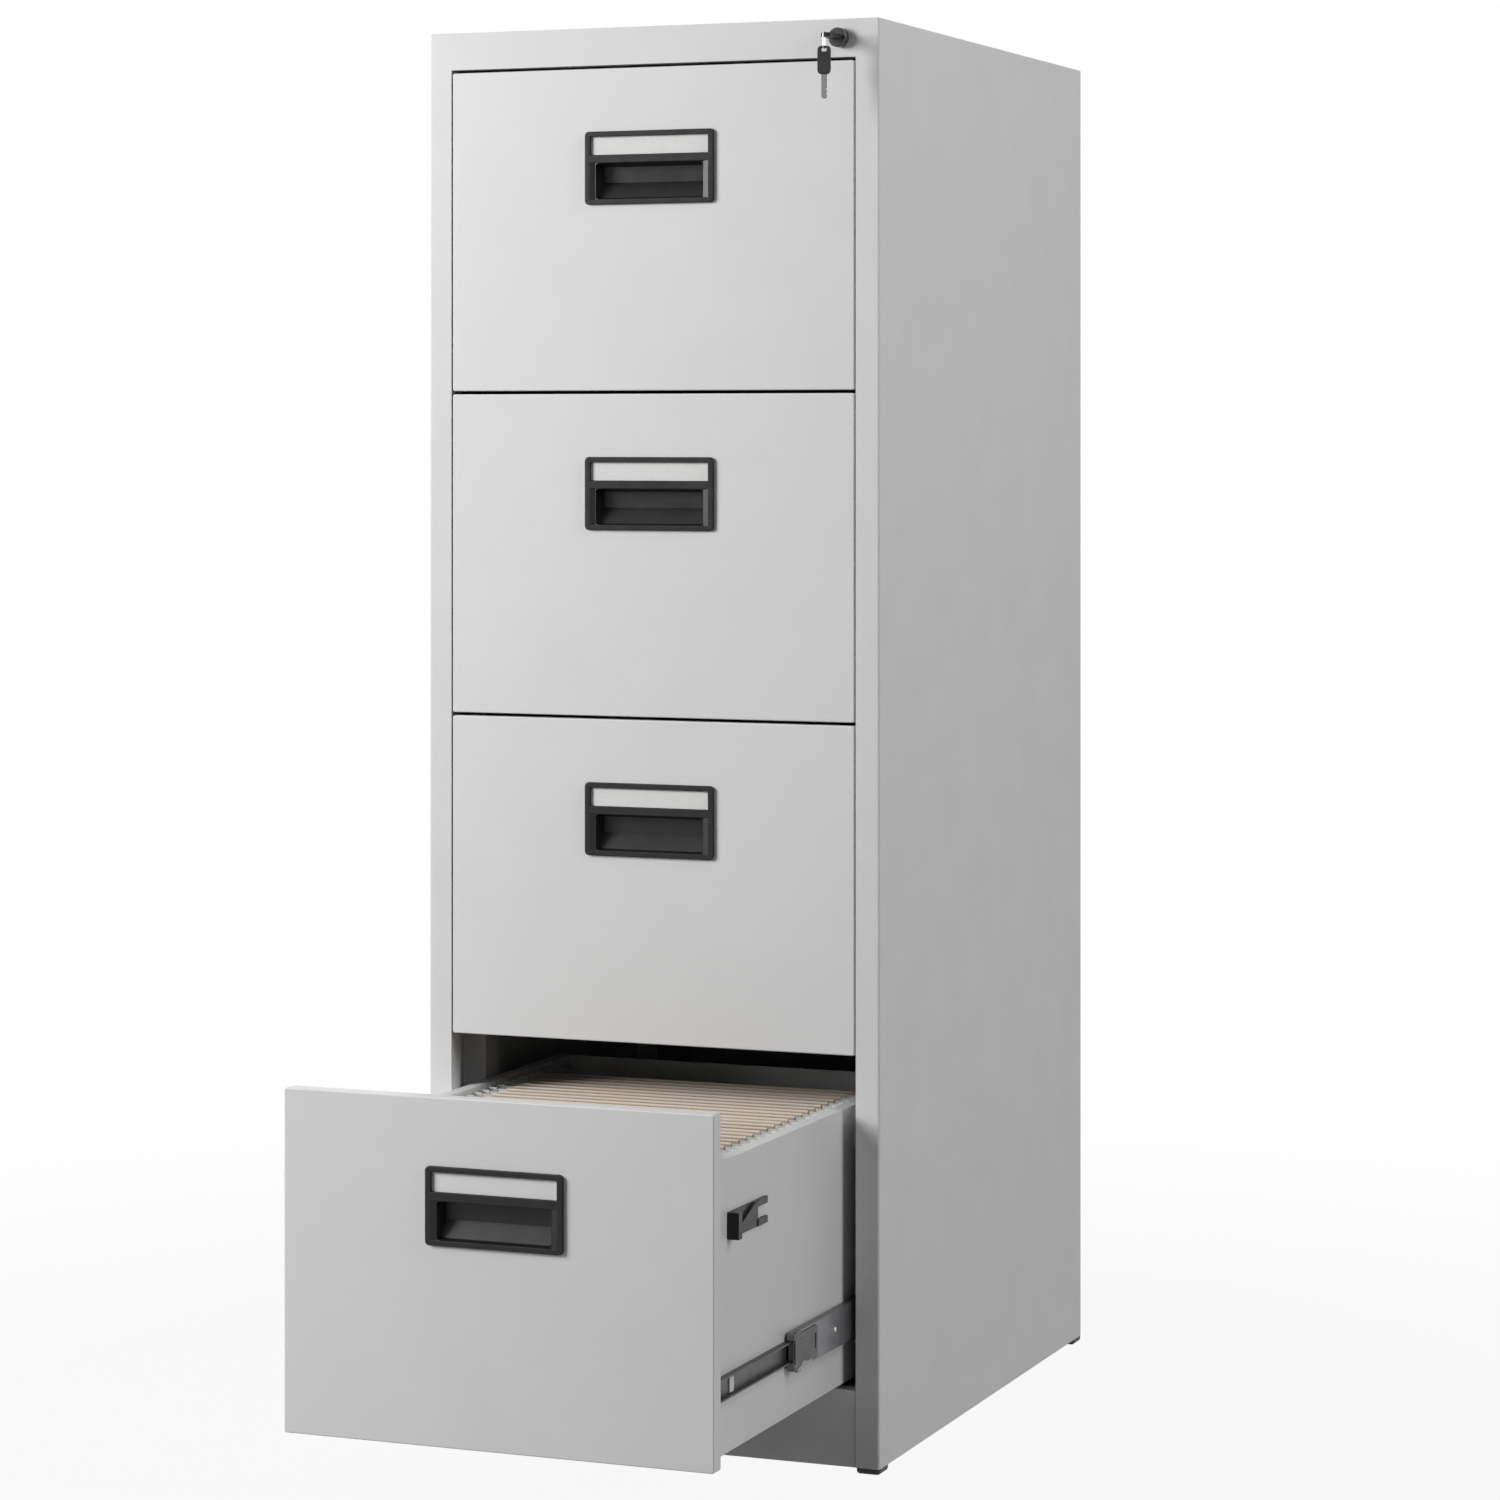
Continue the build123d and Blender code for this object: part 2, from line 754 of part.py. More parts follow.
# Lock nut: clamps the housing from behind the rail
with BuildPart() as lock_nut:
    with BuildSketch(Plane.XZ.offset(-(front_y + sheet))):
        with Locations((lock_x, lock_z)):
            RegularPolygon(nut_flats / 2, 6, major_radius=False)
            Circle(barrel_diameter / 2 + nut_clearance, mode=Mode.SUBTRACT)
    extrude(amount=-nut_thickness)
keep(lock_nut, "lock_nut")

# Lock plug: turns in the housing, with a keyway from its face and a tail for the cam
with BuildPart() as lock_plug:
    plug_face_y = lock_face_y - plug_proud
    with BuildSketch(Plane.XZ.offset(-plug_face_y)):
        with Locations((lock_x, lock_z)):
            Circle(plug_diameter / 2)
    extrude(amount=-(barrel_end_y - plug_face_y))
    with BuildSketch(Plane.XZ.offset(-barrel_end_y)):
        with Locations((lock_x, lock_z)):
            Circle(tail_diameter / 2)
    extrude(amount=-(head_y - tail_end_gap - barrel_end_y))
    keyway_half = blade_width / 2 + blade_clearance
    keyway_half_height = blade_thickness / 2 + blade_clearance
    keyway_end = lock_face_y - bow_gap + blade_length + blade_clearance
    block(
        (lock_x - keyway_half, lock_x + keyway_half),
        (plug_face_y, keyway_end),
        (lock_z - keyway_half_height, lock_z + keyway_half_height),
        mode=Mode.SUBTRACT,
    )
keep(lock_plug, "lock_plug")

# Lock cam: a hub on the plug's tail and an arm whose pin works in the lock bar's slot
with BuildPart() as lock_cam:
    cam_plane = Plane.XZ.offset(-cam_y)
    with BuildSketch(cam_plane):
        with Locations((lock_x, lock_z)):
            Circle(cam_hub_radius)
        with Locations(Location(((lock_x + pin_x) / 2, (lock_z + pin_z) / 2, 0), (0, 0, -key_turn / 2))):
            SlotCenterToCenter(pin_offset, cam_arm_width)
        with Locations((lock_x, lock_z)):
            Circle(tail_diameter / 2 + cam_bore_clearance, mode=Mode.SUBTRACT)
    extrude(amount=-cam_thickness)
    with BuildSketch(cam_plane.offset(-cam_thickness)):
        with Locations((pin_x, pin_z)):
            Circle(pin_diameter / 2)
    extrude(amount=-pin_length)
keep(lock_cam, "lock_cam")


def hook_top(number):
    """Height of a hook's top when the lock is open: just under the drawer's tooth."""
    return drawer_bottom(number) + catch_lift - hook_drop


# Lock bar: a flat upright that slides up and down inside the right side
with BuildPart() as lock_bar:
    bar_rear = head_y + bar_width
    bar_bottom = hook_top(drawer_count) - hook_height - bar_below_hook
    bar_top = pin_z + head_height / 2
    block((bar_x, bar_x + bar_thickness), (head_y, bar_rear), (bar_bottom, bar_top))
keep(lock_bar, "lock_bar")

# Head of the lock bar: a plate welded on its top, with the slot that the cam's pin works in
with BuildPart() as lock_bar_head:
    slot_half_height = pin_diameter / 2 + slot_clearance
    block(
        (lock_x - head_past_axis, bar_x),
        (head_y, head_y + bar_thickness),
        (pin_z - head_height / 2, bar_top),
    )
    block(
        (pin_x - slot_half_height, lock_x + pin_offset + slot_half_height),
        (head_y, head_y + bar_thickness),
        (pin_z - slot_half_height, pin_z + slot_half_height),
        mode=Mode.SUBTRACT,
    )
keep(lock_bar_head, "lock_bar_head")

# Hooks: four lugs welded on the lock bar, one in front of each drawer's tooth
with BuildPart() as lock_bar_hooks:
    hook_tip_x = side_x + catch_plate + hook_plate_gap
    for number in range(1, drawer_count + 1):
        block(
            (hook_tip_x, bar_x),
            (bar_rear - bar_thickness, bar_rear),
            (hook_top(number) - hook_height, hook_top(number)),
        )
keep(lock_bar_hooks, "lock_bar_hooks")

# Guides: three blocks on the right side's inner face that the bar slides through
with BuildPart() as lock_bar_guides:
    slot_x = (bar_x - guide_clearance, bar_x + bar_thickness + guide_clearance)
    slot_y = (head_y - guide_clearance, bar_rear + guide_clearance)
    for number in range(1, drawer_count):
        guide_z = hook_top(number + 1) + drawer_pitch / 2
        guide_faces = (guide_z - guide_height / 2, guide_z + guide_height / 2)
        block(
            (slot_x[0] - guide_wall, wall_x),
            (slot_y[0] - guide_end_wall, slot_y[1] + guide_end_wall),
            guide_faces,
        )
        block(slot_x, slot_y, guide_faces, mode=Mode.SUBTRACT)
keep(lock_bar_guides, "lock_bar_guides")


# The key stands level in the lock. Its plane starts at the edge of the bow that the blade leaves by
bow_edge_y = lock_face_y - bow_gap
key_plane = Plane((lock_x, bow_edge_y, lock_z), x_dir=(1, 0, 0), z_dir=(0, 0, 1))

# Bow: the moulded head of the key, with an oval hole near its tip and a pocket for the blade
with BuildPart() as key_bow:
    with BuildSketch(key_plane.offset(-bow_thickness / 2)) as bow_outline:
        with Locations((0, -bow_length / 2)):
            Rectangle(bow_width, bow_length)
        bow_corners = bow_outline.vertices().group_by(Axis.Y)
        fillet(bow_corners[0], bow_tip_radius)
        fillet(bow_corners[-1], bow_root_radius)
        with Locations((0, -bow_length + bow_rim + bow_hole_height / 2)):
            SlotOverall(bow_hole_width, bow_hole_height, mode=Mode.SUBTRACT)
    extrude(amount=bow_thickness)
    pocket_half = blade_thickness / 2 + tongue_clearance
    with BuildSketch(key_plane.offset(-pocket_half)):
        with Locations((0, -(blade_tongue + tongue_clearance) / 2)):
            Rectangle(blade_width + 2 * tongue_clearance, blade_tongue + tongue_clearance)
    extrude(amount=2 * pocket_half, mode=Mode.SUBTRACT)
keep(key_bow, "key_bow")

# Blade: a flat bar with a row of bitting cuts on one edge and a tongue that sits in the bow
with BuildPart() as key_blade:
    with BuildSketch(key_plane.offset(-blade_thickness / 2)) as blade_outline:
        with Locations((0, (blade_length - blade_tongue) / 2)):
            Rectangle(blade_width, blade_length + blade_tongue)
        chamfer(blade_outline.vertices().group_by(Axis.Y)[-1], blade_tip_chamfer)
        first_notch = blade_length - blade_tip_chamfer - notch_depth
        for i in range(notch_count):
            with BuildLine():
                notch_y = first_notch - i * notch_pitch
                Polyline(
                    (blade_width / 2, notch_y + notch_depth),
                    (blade_width / 2 - notch_depth, notch_y),
                    (blade_width / 2, notch_y - notch_depth),
                    close=True,
                )
            make_face(mode=Mode.SUBTRACT)
    extrude(amount=blade_thickness)
keep(key_blade, "key_blade")

# Wire link: an oval that goes round the bow's rim and carries a spare key
link_x = lock_x - link_offset
link_y = bow_edge_y - bow_length + bow_rim + bow_hole_height / 2 - link_width / 2
link_top = lock_z + link_above
link_bottom = lock_z - link_drop
with BuildPart() as key_link:
    with BuildLine():
        link_turn = link_width / 2
        left = link_y - link_turn
        right = link_y + link_turn
        Line((link_x, left, link_bottom + link_turn), (link_x, left, link_top - link_turn))
        ThreePointArc(
            (link_x, left, link_top - link_turn),
            (link_x, link_y, link_top),
            (link_x, right, link_top - link_turn),
        )
        Line((link_x, right, link_top - link_turn), (link_x, right, link_bottom + link_turn))
        ThreePointArc(
            (link_x, right, link_bottom + link_turn),
            (link_x, link_y, link_bottom),
            (link_x, left, link_bottom + link_turn),
        )
    with BuildSketch(Plane((link_x, left, link_bottom + link_turn), z_dir=(0, 0, 1))):
        Circle(link_wire / 2)
    sweep()
keep(key_link, "key_link")

# Hanging folders on the open drawer's rails, and the rods they hang by
open_face = drawer_face(drawer_count)
open_bottom = drawer_bottom(drawer_count)
rail_top = open_bottom + body_lift + body_height - rail_drop
folder_half = rail_inner_x - folder_side_gap
folder_bottom = open_bottom + body_lift + sheet + folder_floor_gap
folder_top = rail_top - rod_notch_depth + rod_height
folder_places = [open_face + first_folder_setback + i * folder_pitch for i in range(folder_count)]
with BuildPart() as hanging_folders:
    with BuildSketch(*[Plane((-folder_half, y, 0), (0, 1, 0), (1, 0, 0)) for y in folder_places]):
        with BuildLine():
            Polyline(
                (-folder_spread, folder_top),
                (-folder_card, folder_bottom),
                (folder_card, folder_bottom),
                (folder_spread, folder_top),
                (folder_spread - folder_card, folder_top),
                (0, folder_bottom + 2 * folder_card),
                (-folder_spread + folder_card, folder_top),
                close=True,
            )
        make_face()
    extrude(amount=2 * folder_half)
keep(hanging_folders, "hanging_folders")

with BuildPart() as folder_rods:
    rod_half = rail_outer_x + rod_overhang
    notch_low = rail_inner_x - rod_notch_clearance
    notch_high = rail_outer_x + rod_notch_clearance
    leaf_steps = (-folder_spread - rod_thickness, folder_spread)
    rod_places = [y + step for y in folder_places for step in leaf_steps]
    with BuildSketch(*[Plane.XZ.offset(-y) for y in rod_places]):
        with Locations((0, folder_top - rod_height / 2)):
            Rectangle(2 * rod_half, rod_height)
        notch_x = (notch_low + notch_high) / 2
        rod_low = folder_top - rod_height
        with Locations((-notch_x, rod_low), (notch_x, rod_low)):
            Rectangle(notch_high - notch_low, 2 * rod_notch_depth, mode=Mode.SUBTRACT)
    extrude(amount=-rod_thickness)
keep(folder_rods, "folder_rods")

print("drawer front", round(front_width, 2), "by", round(front_height, 2), "pitch", round(drawer_pitch, 2))
print("front plane y", round(front_y, 3), "lock bar lift", round(bar_lift, 3))
print("bar travel per radian", round(bar_lift / (key_turn * pi / 180), 4))
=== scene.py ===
# %% [markdown]
# This file dresses a four-drawer steel filing cabinet, whose bottom drawer stands open with
# hanging folders in it. The cabinet's own parts were drawn to size beforehand. They could be built
# again here, but loading them as a fixed frame keeps every finish and every added piece on the
# place where the real one sits. The frame comes first, because everything after it asks it for
# sizes. All lengths are metres, and sizes that a maker would know in millimetres are written
# as a number times mm.
# %% Load the cabinet
from math import cos, pi, radians, sin

import bmesh
import bpy
from mathutils import Matrix, Vector


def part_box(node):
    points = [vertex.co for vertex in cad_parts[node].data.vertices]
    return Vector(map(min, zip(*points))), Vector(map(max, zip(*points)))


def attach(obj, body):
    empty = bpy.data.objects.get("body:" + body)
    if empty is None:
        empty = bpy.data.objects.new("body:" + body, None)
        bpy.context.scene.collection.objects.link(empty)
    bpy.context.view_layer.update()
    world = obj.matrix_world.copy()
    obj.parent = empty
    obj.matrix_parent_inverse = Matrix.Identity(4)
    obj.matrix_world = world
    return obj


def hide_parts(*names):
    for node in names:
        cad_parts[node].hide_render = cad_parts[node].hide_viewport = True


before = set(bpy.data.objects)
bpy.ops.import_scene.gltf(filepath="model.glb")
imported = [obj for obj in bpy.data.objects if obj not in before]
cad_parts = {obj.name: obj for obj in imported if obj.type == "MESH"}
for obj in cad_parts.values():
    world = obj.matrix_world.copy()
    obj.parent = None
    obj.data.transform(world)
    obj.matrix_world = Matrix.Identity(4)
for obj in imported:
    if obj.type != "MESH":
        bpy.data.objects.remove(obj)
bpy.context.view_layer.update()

mm = 0.001
drawer_numbers = (1, 2, 3, 4)

# %% [markdown]
# The photograph was taken from well in front and to the right of the cabinet, with the camera held
# level at about chest height, and cropped so that more shows below its horizon than above. A camera
# could be tilted down instead, but then the cabinet's uprights would lean. A level camera with
# its picture shifted down keeps them upright, as they are in the photograph.
# %% Camera
camera_place = (1.5435, -3.7717, 0.9535)
camera_turn = 21.66
camera_lens = 101.68
picture_shift = -0.2132
camera = bpy.data.objects.new("camera", bpy.data.cameras.new("camera"))
camera.location = camera_place
camera.rotation_euler = (radians(90), 0, radians(camera_turn))
camera.data.lens = camera_lens
camera.data.sensor_width = 36
camera.data.shift_y = picture_shift
bpy.context.scene.collection.objects.link(camera)
bpy.context.scene.camera = camera
print("camera", camera_place, "turned", camera_turn, "degrees")

# %% [markdown]
# Studio light for a pale cabinet is soft: large boxes, so that the steel shades gently and no edge
# burns out. Here a large box stands to the left in front, which lights the fronts more than the
# right side and throws the open drawer's shadow on the right stile. A second one further off in
# front reaches into the open drawer, a weak one hangs above, one stands far to the right for the
# side panel, and one behind keeps the back from going black in other views. Sun lamps would be
# simpler, but their shadows are hard. The view transform is Standard, so that a colour renders
# about as it is written.
# %% Lights
def soft_box(name, place, aim, size, watts):
    """A square area lamp at one point, facing another."""
    lamp = bpy.data.lights.new(name, "AREA")
    lamp.shape = "SQUARE"
    lamp.size = size
    lamp.energy = watts
    holder = bpy.data.objects.new(name, lamp)
    holder.location = place
    holder.rotation_euler = (Vector(aim) - Vector(place)).to_track_quat("-Z", "Y").to_euler()
    bpy.context.scene.collection.objects.link(holder)
    print(name, "of", size, "m gives", watts, "W")


soft_box("left_box", (-2.605, -2.185, 2.0), (0, 0, 0.8), 1.5, 119)
soft_box("front_box", (-4.33, -3.39, 1.8), (0, 0, 0.6), 2.2, 88)
soft_box("top_box", (1.9, -0.4, 2.4), (0.2, 0.1, 0.9), 1.0, 13)
soft_box("right_box", (5.446, -0.765, 2.4), (0.1, 0.1, 0.8), 2.2, 92)
soft_box("back_box", (-1.4, 5.0, 2.2), (0, 0.4, 0.6), 2.2, 75)
bpy.context.scene.view_settings.view_transform = "Standard"

# %% [markdown]
# A material in Blender is a small graph of nodes. Rather than one helper for each kind of node, a
# single one adds any node, sets its properties, and fills its inputs with plain values or with
# other nodes' outputs. Colours are written as the hex values that a paint chart or a picture
# editor shows, which are sRGB, so one function turns them into the linear values that Blender
# reckons with. Pattern sizes are real ones too: a noise texture's scale is how many of its lumps
# fit in a metre.
# %% Helpers for materials
def linear(hex_colour):
    """A colour such as "d8d8d6", written as sRGB, turned to linear red, green, blue and alpha."""
    shares = [int(hex_colour[i:i + 2], 16) / 255 for i in (0, 2, 4)]
    return tuple(s / 12.92 if s <= 0.04045 else ((s + 0.055) / 1.055) ** 2.4 for s in shares) + (1,)


def add_node(tree, kind, inputs=None, **settings):
    """Add a node, set its properties, and fill its inputs with values or other nodes' outputs."""
    node = tree.nodes.new(kind)
    for name, value in settings.items():
        setattr(node, name, value)
    for name, value in (inputs or {}).items():
        socket = node.inputs[name]
        if isinstance(value, bpy.types.NodeSocket):
            tree.links.new(value, socket)
        else:
            socket.default_value = value
    return node


def new_material(name, inputs):
    """A material with one Principled shader. Returns the material, its tree and the shader."""
    material = bpy.data.materials.new(name)
    material.use_nodes = True
    tree = material.node_tree
    tree.nodes.clear()
    shader = add_node(tree, "ShaderNodeBsdfPrincipled", inputs)
    add_node(tree, "ShaderNodeOutputMaterial", {"Surface": shader.outputs["BSDF"]})
    return material, tree, shader


def per_metre(size):
    """How many lumps of a real size, in metres, fit in a metre."""
    return 1 / size


def noise(tree, size, stretch=(1, 1, 1), detail=2.0):
    """Noise whose lumps have a real size, longer along the axes that stretch names."""
    place = add_node(tree, "ShaderNodeTexCoord").outputs["Object"]
    scaled = add_node(
        tree, "ShaderNodeMapping", {"Vector": place, "Scale": tuple(1 / s for s in stretch)}
    ).outputs["Vector"]
    texture = add_node(
        tree, "ShaderNodeTexNoise", {"Vector": scaled, "Scale": per_metre(size), "Detail": detail}
    )
    return texture.outputs["Fac"]


def spread(tree, value, low, high, start=0.3, end=0.7):
    """Spread a noise's middle values over a wanted range."""
    return add_node(
        tree,
        "ShaderNodeMapRange",
        {"Value": value, "From Min": start, "From Max": end, "To Min": low, "To Max": high},
    ).outputs["Result"]


def blend_colours(tree, share, first, second):
    """Two colours mixed by a share that is a number or another node's output."""
    mix = add_node(tree, "ShaderNodeMix", data_type="RGBA")
    for index, value in ((0, share), (6, first), (7, second)):
        if isinstance(value, bpy.types.NodeSocket):
            tree.links.new(value, mix.inputs[index])
        else:
            mix.inputs[index].default_value = value
    return mix.outputs[2]


def bump(tree, height, depth, normal=None):
    """A surface raised by a height of 0 to 1, times a real depth in metres."""
    inputs = {"Height": height, "Distance": depth, "Strength": 1.0}
    if normal is not None:
        inputs["Normal"] = normal
    return add_node(tree, "ShaderNodeBump", inputs).outputs["Normal"]


print("helpers ready; mid grey 808080 is", round(linear("808080")[0], 3), "in linear light")

# %% [markdown]
# A cabinet in a catalogue stands on nothing but white. A floor is still needed, for the soft
# shadow under it and for the light that it throws back up. The floor could be lit until it is
# white, but that would burn out the cabinet too. Instead the floor, and the world behind it, show
# white to the camera and to reflections only. For everything else the floor is a plain mid grey and
# the world is nearly dark. Close to the cabinet the floor is kept a little under white, so that its
# shadow shows.
# %% Floor and background
def seen_directly(tree):
    """1 for what the camera sees, straight or by a reflection or through glass, and 0 otherwise."""
    path = add_node(tree, "ShaderNodeLightPath")
    seen = path.outputs["Is Camera Ray"]
    for ray in ("Is Glossy Ray", "Is Transmission Ray"):
        larger = {0: seen, 1: path.outputs[ray]}
        seen = add_node(tree, "ShaderNodeMath", larger, operation="MAXIMUM").outputs["Value"]
    return seen


world_fill = 0.03
world = bpy.data.worlds.new("studio")
world.use_nodes = True
world.node_tree.nodes.clear()
pure_white = linear("ffffff")
lit = add_node(world.node_tree, "ShaderNodeBackground", {"Color": pure_white, "Strength": world_fill})
shown = add_node(world.node_tree, "ShaderNodeBackground", {"Color": pure_white, "Strength": 1.0})
either = add_node(
    world.node_tree,
    "ShaderNodeMixShader",
    {0: seen_directly(world.node_tree), 1: lit.outputs[0], 2: shown.outputs[0]},
)
add_node(world.node_tree, "ShaderNodeOutputWorld", {"Surface": either.outputs[0]})
bpy.context.scene.world = world

floor_radius = 9.0
floor_near_whiteness = 0.93
floor_near_radius = 0.7
floor_white_radius = 2.0
floor_form = bmesh.new()
bmesh.ops.create_circle(floor_form, cap_ends=True, segments=96, radius=floor_radius)
floor_mesh = bpy.data.meshes.new("studio_floor")
floor_form.to_mesh(floor_mesh)
floor_form.free()
floor = bpy.data.objects.new("studio_floor", floor_mesh)
bpy.context.scene.collection.objects.link(floor)

floor_paint = bpy.data.materials.new("matt_studio_floor")
floor_paint.use_nodes = True
floor_tree = floor_paint.node_tree
floor_tree.nodes.clear()
floor_place = add_node(floor_tree, "ShaderNodeTexCoord").outputs["Object"]
floor_distance = add_node(floor_tree, "ShaderNodeVectorMath", {0: floor_place}, operation="LENGTH")
whiteness = spread(
    floor_tree,
    floor_distance.outputs["Value"],
    floor_near_whiteness,
    1.0,
    floor_near_radius,
    floor_white_radius,
)
floor_share = add_node(
    floor_tree, "ShaderNodeMath", {0: seen_directly(floor_tree), 1: whiteness}, operation="MULTIPLY"
)
matt = add_node(floor_tree, "ShaderNodeBsdfDiffuse", {"Color": linear("8c8c8c")})
white = add_node(floor_tree, "ShaderNodeEmission", {"Color": pure_white, "Strength": 1.0})
floor_mix = add_node(
    floor_tree,
    "ShaderNodeMixShader",
    {0: floor_share.outputs["Value"], 1: matt.outputs[0], 2: white.outputs[0]},
)
add_node(floor_tree, "ShaderNodeOutputMaterial", {"Surface": floor_mix.outputs[0]})
floor.data.materials.append(floor_paint)
print("floor of", 2 * floor_radius, "m across")

# %% [markdown]
# The cabinet and its drawer fronts are cold-rolled steel with an epoxy-polyester powder coat. The
# powder is sprayed on dry and melts in an oven, which leaves a fine orange peel: lumps about a
# millimetre and a half across that break up reflections, over a soft satin gloss. Thin sheet is
# never quite flat either, so a second, very wide bump bends reflections slightly. Both could be
# modelled, but they are far too shallow for geometry and belong in the material.
# %% Powder-coated steel
peel_size = 2.2 * mm
peel_depth = 0.035 * mm
ripple_size = 240 * mm
ripple_depth = 0.5 * mm


def powder_coat(name, colour, shade, roughness):
    """Satin powder coat over steel sheet: orange peel, a slight mottle and a slight waviness."""
    material, tree, shader = new_material(name, {"IOR": 1.5, "Specular IOR Level": 0.45})
    mottle = spread(tree, noise(tree, 70 * mm), 0, 1)
    tone = blend_colours(tree, mottle, linear(colour), linear(shade))
    gloss = spread(tree, noise(tree, 45 * mm, detail=4.0), roughness - 0.03, roughness + 0.04)
    wavy = bump(tree, noise(tree, ripple_size, detail=0.0), ripple_depth)
    peel = bump(tree, noise(tree, peel_size, detail=1.0), peel_depth, wavy)
    tree.links.new(tone, shader.inputs["Base Color"])
    tree.links.new(gloss, shader.inputs["Roughness"])
    tree.links.new(peel, shader.inputs["Normal"])
    return material


cabinet_coat = powder_coat("powder_coated_steel_body", "d6d6d6", "d3d3d3", 0.40)
drawer_coat = powder_coat("powder_coated_steel_drawer", "d8d8d8", "d6d6d6", 0.42)
print("powder coats", cabinet_coat.name, drawer_coat.name)

# %% [markdown]
# The grips, the catches, the lock bar's guides and the key's head are injection-moulded ABS with
# carbon black in it. The mould was spark-eroded, which gives a fine even grain and a low sheen.
# Handled edges polish up a little, so the roughness drifts slowly over the piece. The grain is
# really about 0.1 mm; it is drawn coarser here so that it shows in the render.
# %% Moulded plastics
def moulded_plastic(name, colour, worn, roughness, grain_size, grain_depth):
    """Moulded plastic with a spark-eroded grain."""
    material, tree, shader = new_material(name, {"IOR": 1.53, "Specular IOR Level": 0.25})
    handling = spread(tree, noise(tree, 18 * mm, detail=3.0), 0, 1)
    tone = blend_colours(tree, handling, linear(colour), linear(worn))
    gloss = spread(tree, noise(tree, 12 * mm, detail=3.0), roughness - 0.05, roughness + 0.06)
    grain = bump(tree, noise(tree, grain_size, detail=2.0), grain_depth)
    tree.links.new(tone, shader.inputs["Base Color"])
    tree.links.new(gloss, shader.inputs["Roughness"])
    tree.links.new(grain, shader.inputs["Normal"])
    return material


black_abs = moulded_plastic("moulded_black_abs", "151515", "1b1b1b", 0.36, 0.5 * mm, 0.012 * mm)
foot_polyethylene = moulded_plastic(
    "moulded_grey_polyethylene", "3c3c3d", "464647", 0.55, 0.7 * mm, 0.02 * mm
)
bumper_nylon = moulded_plastic("moulded_grey_nylon", "8e8f90", "858687", 0.50, 0.6 * mm, 0.01 * mm)
hook_plastic = moulded_plastic("moulded_white_nylon", "dcdcd8", "cfcfca", 0.40, 0.5 * mm, 0.008 * mm)
print("plastics", black_abs.name, foot_polyethylene.name, bumper_nylon.name, hook_plastic.name)

# %% [markdown]
# The slides are roll-formed steel strip. Rolling draws faint lines along their length, and the
# plating follows: black zinc on the members that the drawer and the cabinet carry, clear zinc on
# the middle one. The lock bar, nut, cam, rivets and wire link are bright zinc, and the slides'
# release levers a duller one. Metal has no colour of its
# own but its reflection, so these are fully metallic, with long thin noise for the drawn lines
# that both roughens and slightly tilts the surface.
# %% Plated steels
def plated_steel(name, colour, stain, roughness, line_size, line_stretch):
    """Plated steel with drawn lines along y and faint cloudy stains in the plating."""
    material, tree, shader = new_material(name, {"Metallic": 1.0})
    cloud = spread(tree, noise(tree, 14 * mm, detail=4.0), 0, 1)
    tone = blend_colours(tree, cloud, linear(colour), linear(stain))
    lines = noise(tree, line_size, stretch=(1, line_stretch, 1), detail=3.0)
    gloss = spread(tree, lines, roughness - 0.07, roughness + 0.09)
    tree.links.new(tone, shader.inputs["Base Color"])
    tree.links.new(gloss, shader.inputs["Roughness"])
    tree.links.new(bump(tree, lines, 0.02 * mm), shader.inputs["Normal"])
    return material


black_zinc = plated_steel("black_zinc_plated_steel", "5a5b5c", "4e4f50", 0.44, 0.6 * mm, 60)
clear_zinc = plated_steel("clear_zinc_plated_steel", "7f8082", "727375", 0.40, 0.6 * mm, 60)
dull_zinc = plated_steel("dull_zinc_plated_steel", "8f9092", "808182", 0.42, 0.6 * mm, 40)
bright_zinc = plated_steel("bright_zinc_plated_steel", "c4c5c6", "b2b2b1", 0.30, 0.5 * mm, 25)
print("plated steels", black_zinc.name, clear_zinc.name, bright_zinc.name)

# %% [markdown]
# The lock is a die-cast zinc housing with a glossy black coat round a nickel-plated brass plug, and
# the key's blade is nickel-plated brass as well. Nickel is warmer and darker than chrome. Keys
# carry fine scratches from the pins, which run along the blade.
# %% Lock metals
def nickel_plate(name, colour, scratched, roughness):
    """Nickel plating over brass, with fine scratches along y."""
    material, tree, shader = new_material(name, {"Metallic": 1.0})
    along_y = noise(tree, 0.25 * mm, stretch=(1, 30, 1), detail=2.0)
    scratches = spread(tree, along_y, 0, 1, 0.5, 0.72)
    tone = blend_colours(tree, scratches, linear(colour), linear(scratched))
    gloss = spread(tree, along_y, roughness - 0.05, roughness + 0.1)
    tree.links.new(tone, shader.inputs["Base Color"])
    tree.links.new(gloss, shader.inputs["Roughness"])
    tree.links.new(bump(tree, along_y, 0.01 * mm), shader.inputs["Normal"])
    return material


def black_lacquer(name, colour, rubbed):
    """Glossy stoved black on a zinc casting, with a slight flow texture."""
    material, tree, shader = new_material(name, {"IOR": 1.5, "Coat Weight": 0.3, "Coat Roughness": 0.12})
    flow = noise(tree, 3.5 * mm, detail=2.0)
    tone = blend_colours(tree, spread(tree, flow, 0, 1), linear(colour), linear(rubbed))
    tree.links.new(tone, shader.inputs["Base Color"])
    tree.links.new(spread(tree, flow, 0.22, 0.32), shader.inputs["Roughness"])
    tree.links.new(bump(tree, flow, 0.03 * mm), shader.inputs["Normal"])
    return material


key_nickel = nickel_plate("nickel_plated_brass", "6f6f6e", "61605f", 0.32)
plug_nickel = nickel_plate("dull_nickel_plated_brass", "403f3e", "343332", 0.36)
lock_lacquer = black_lacquer("stoved_black_lacquer", "1d1d1e", "262627")
print("lock metals", key_nickel.name, plug_nickel.name, lock_lacquer.name)
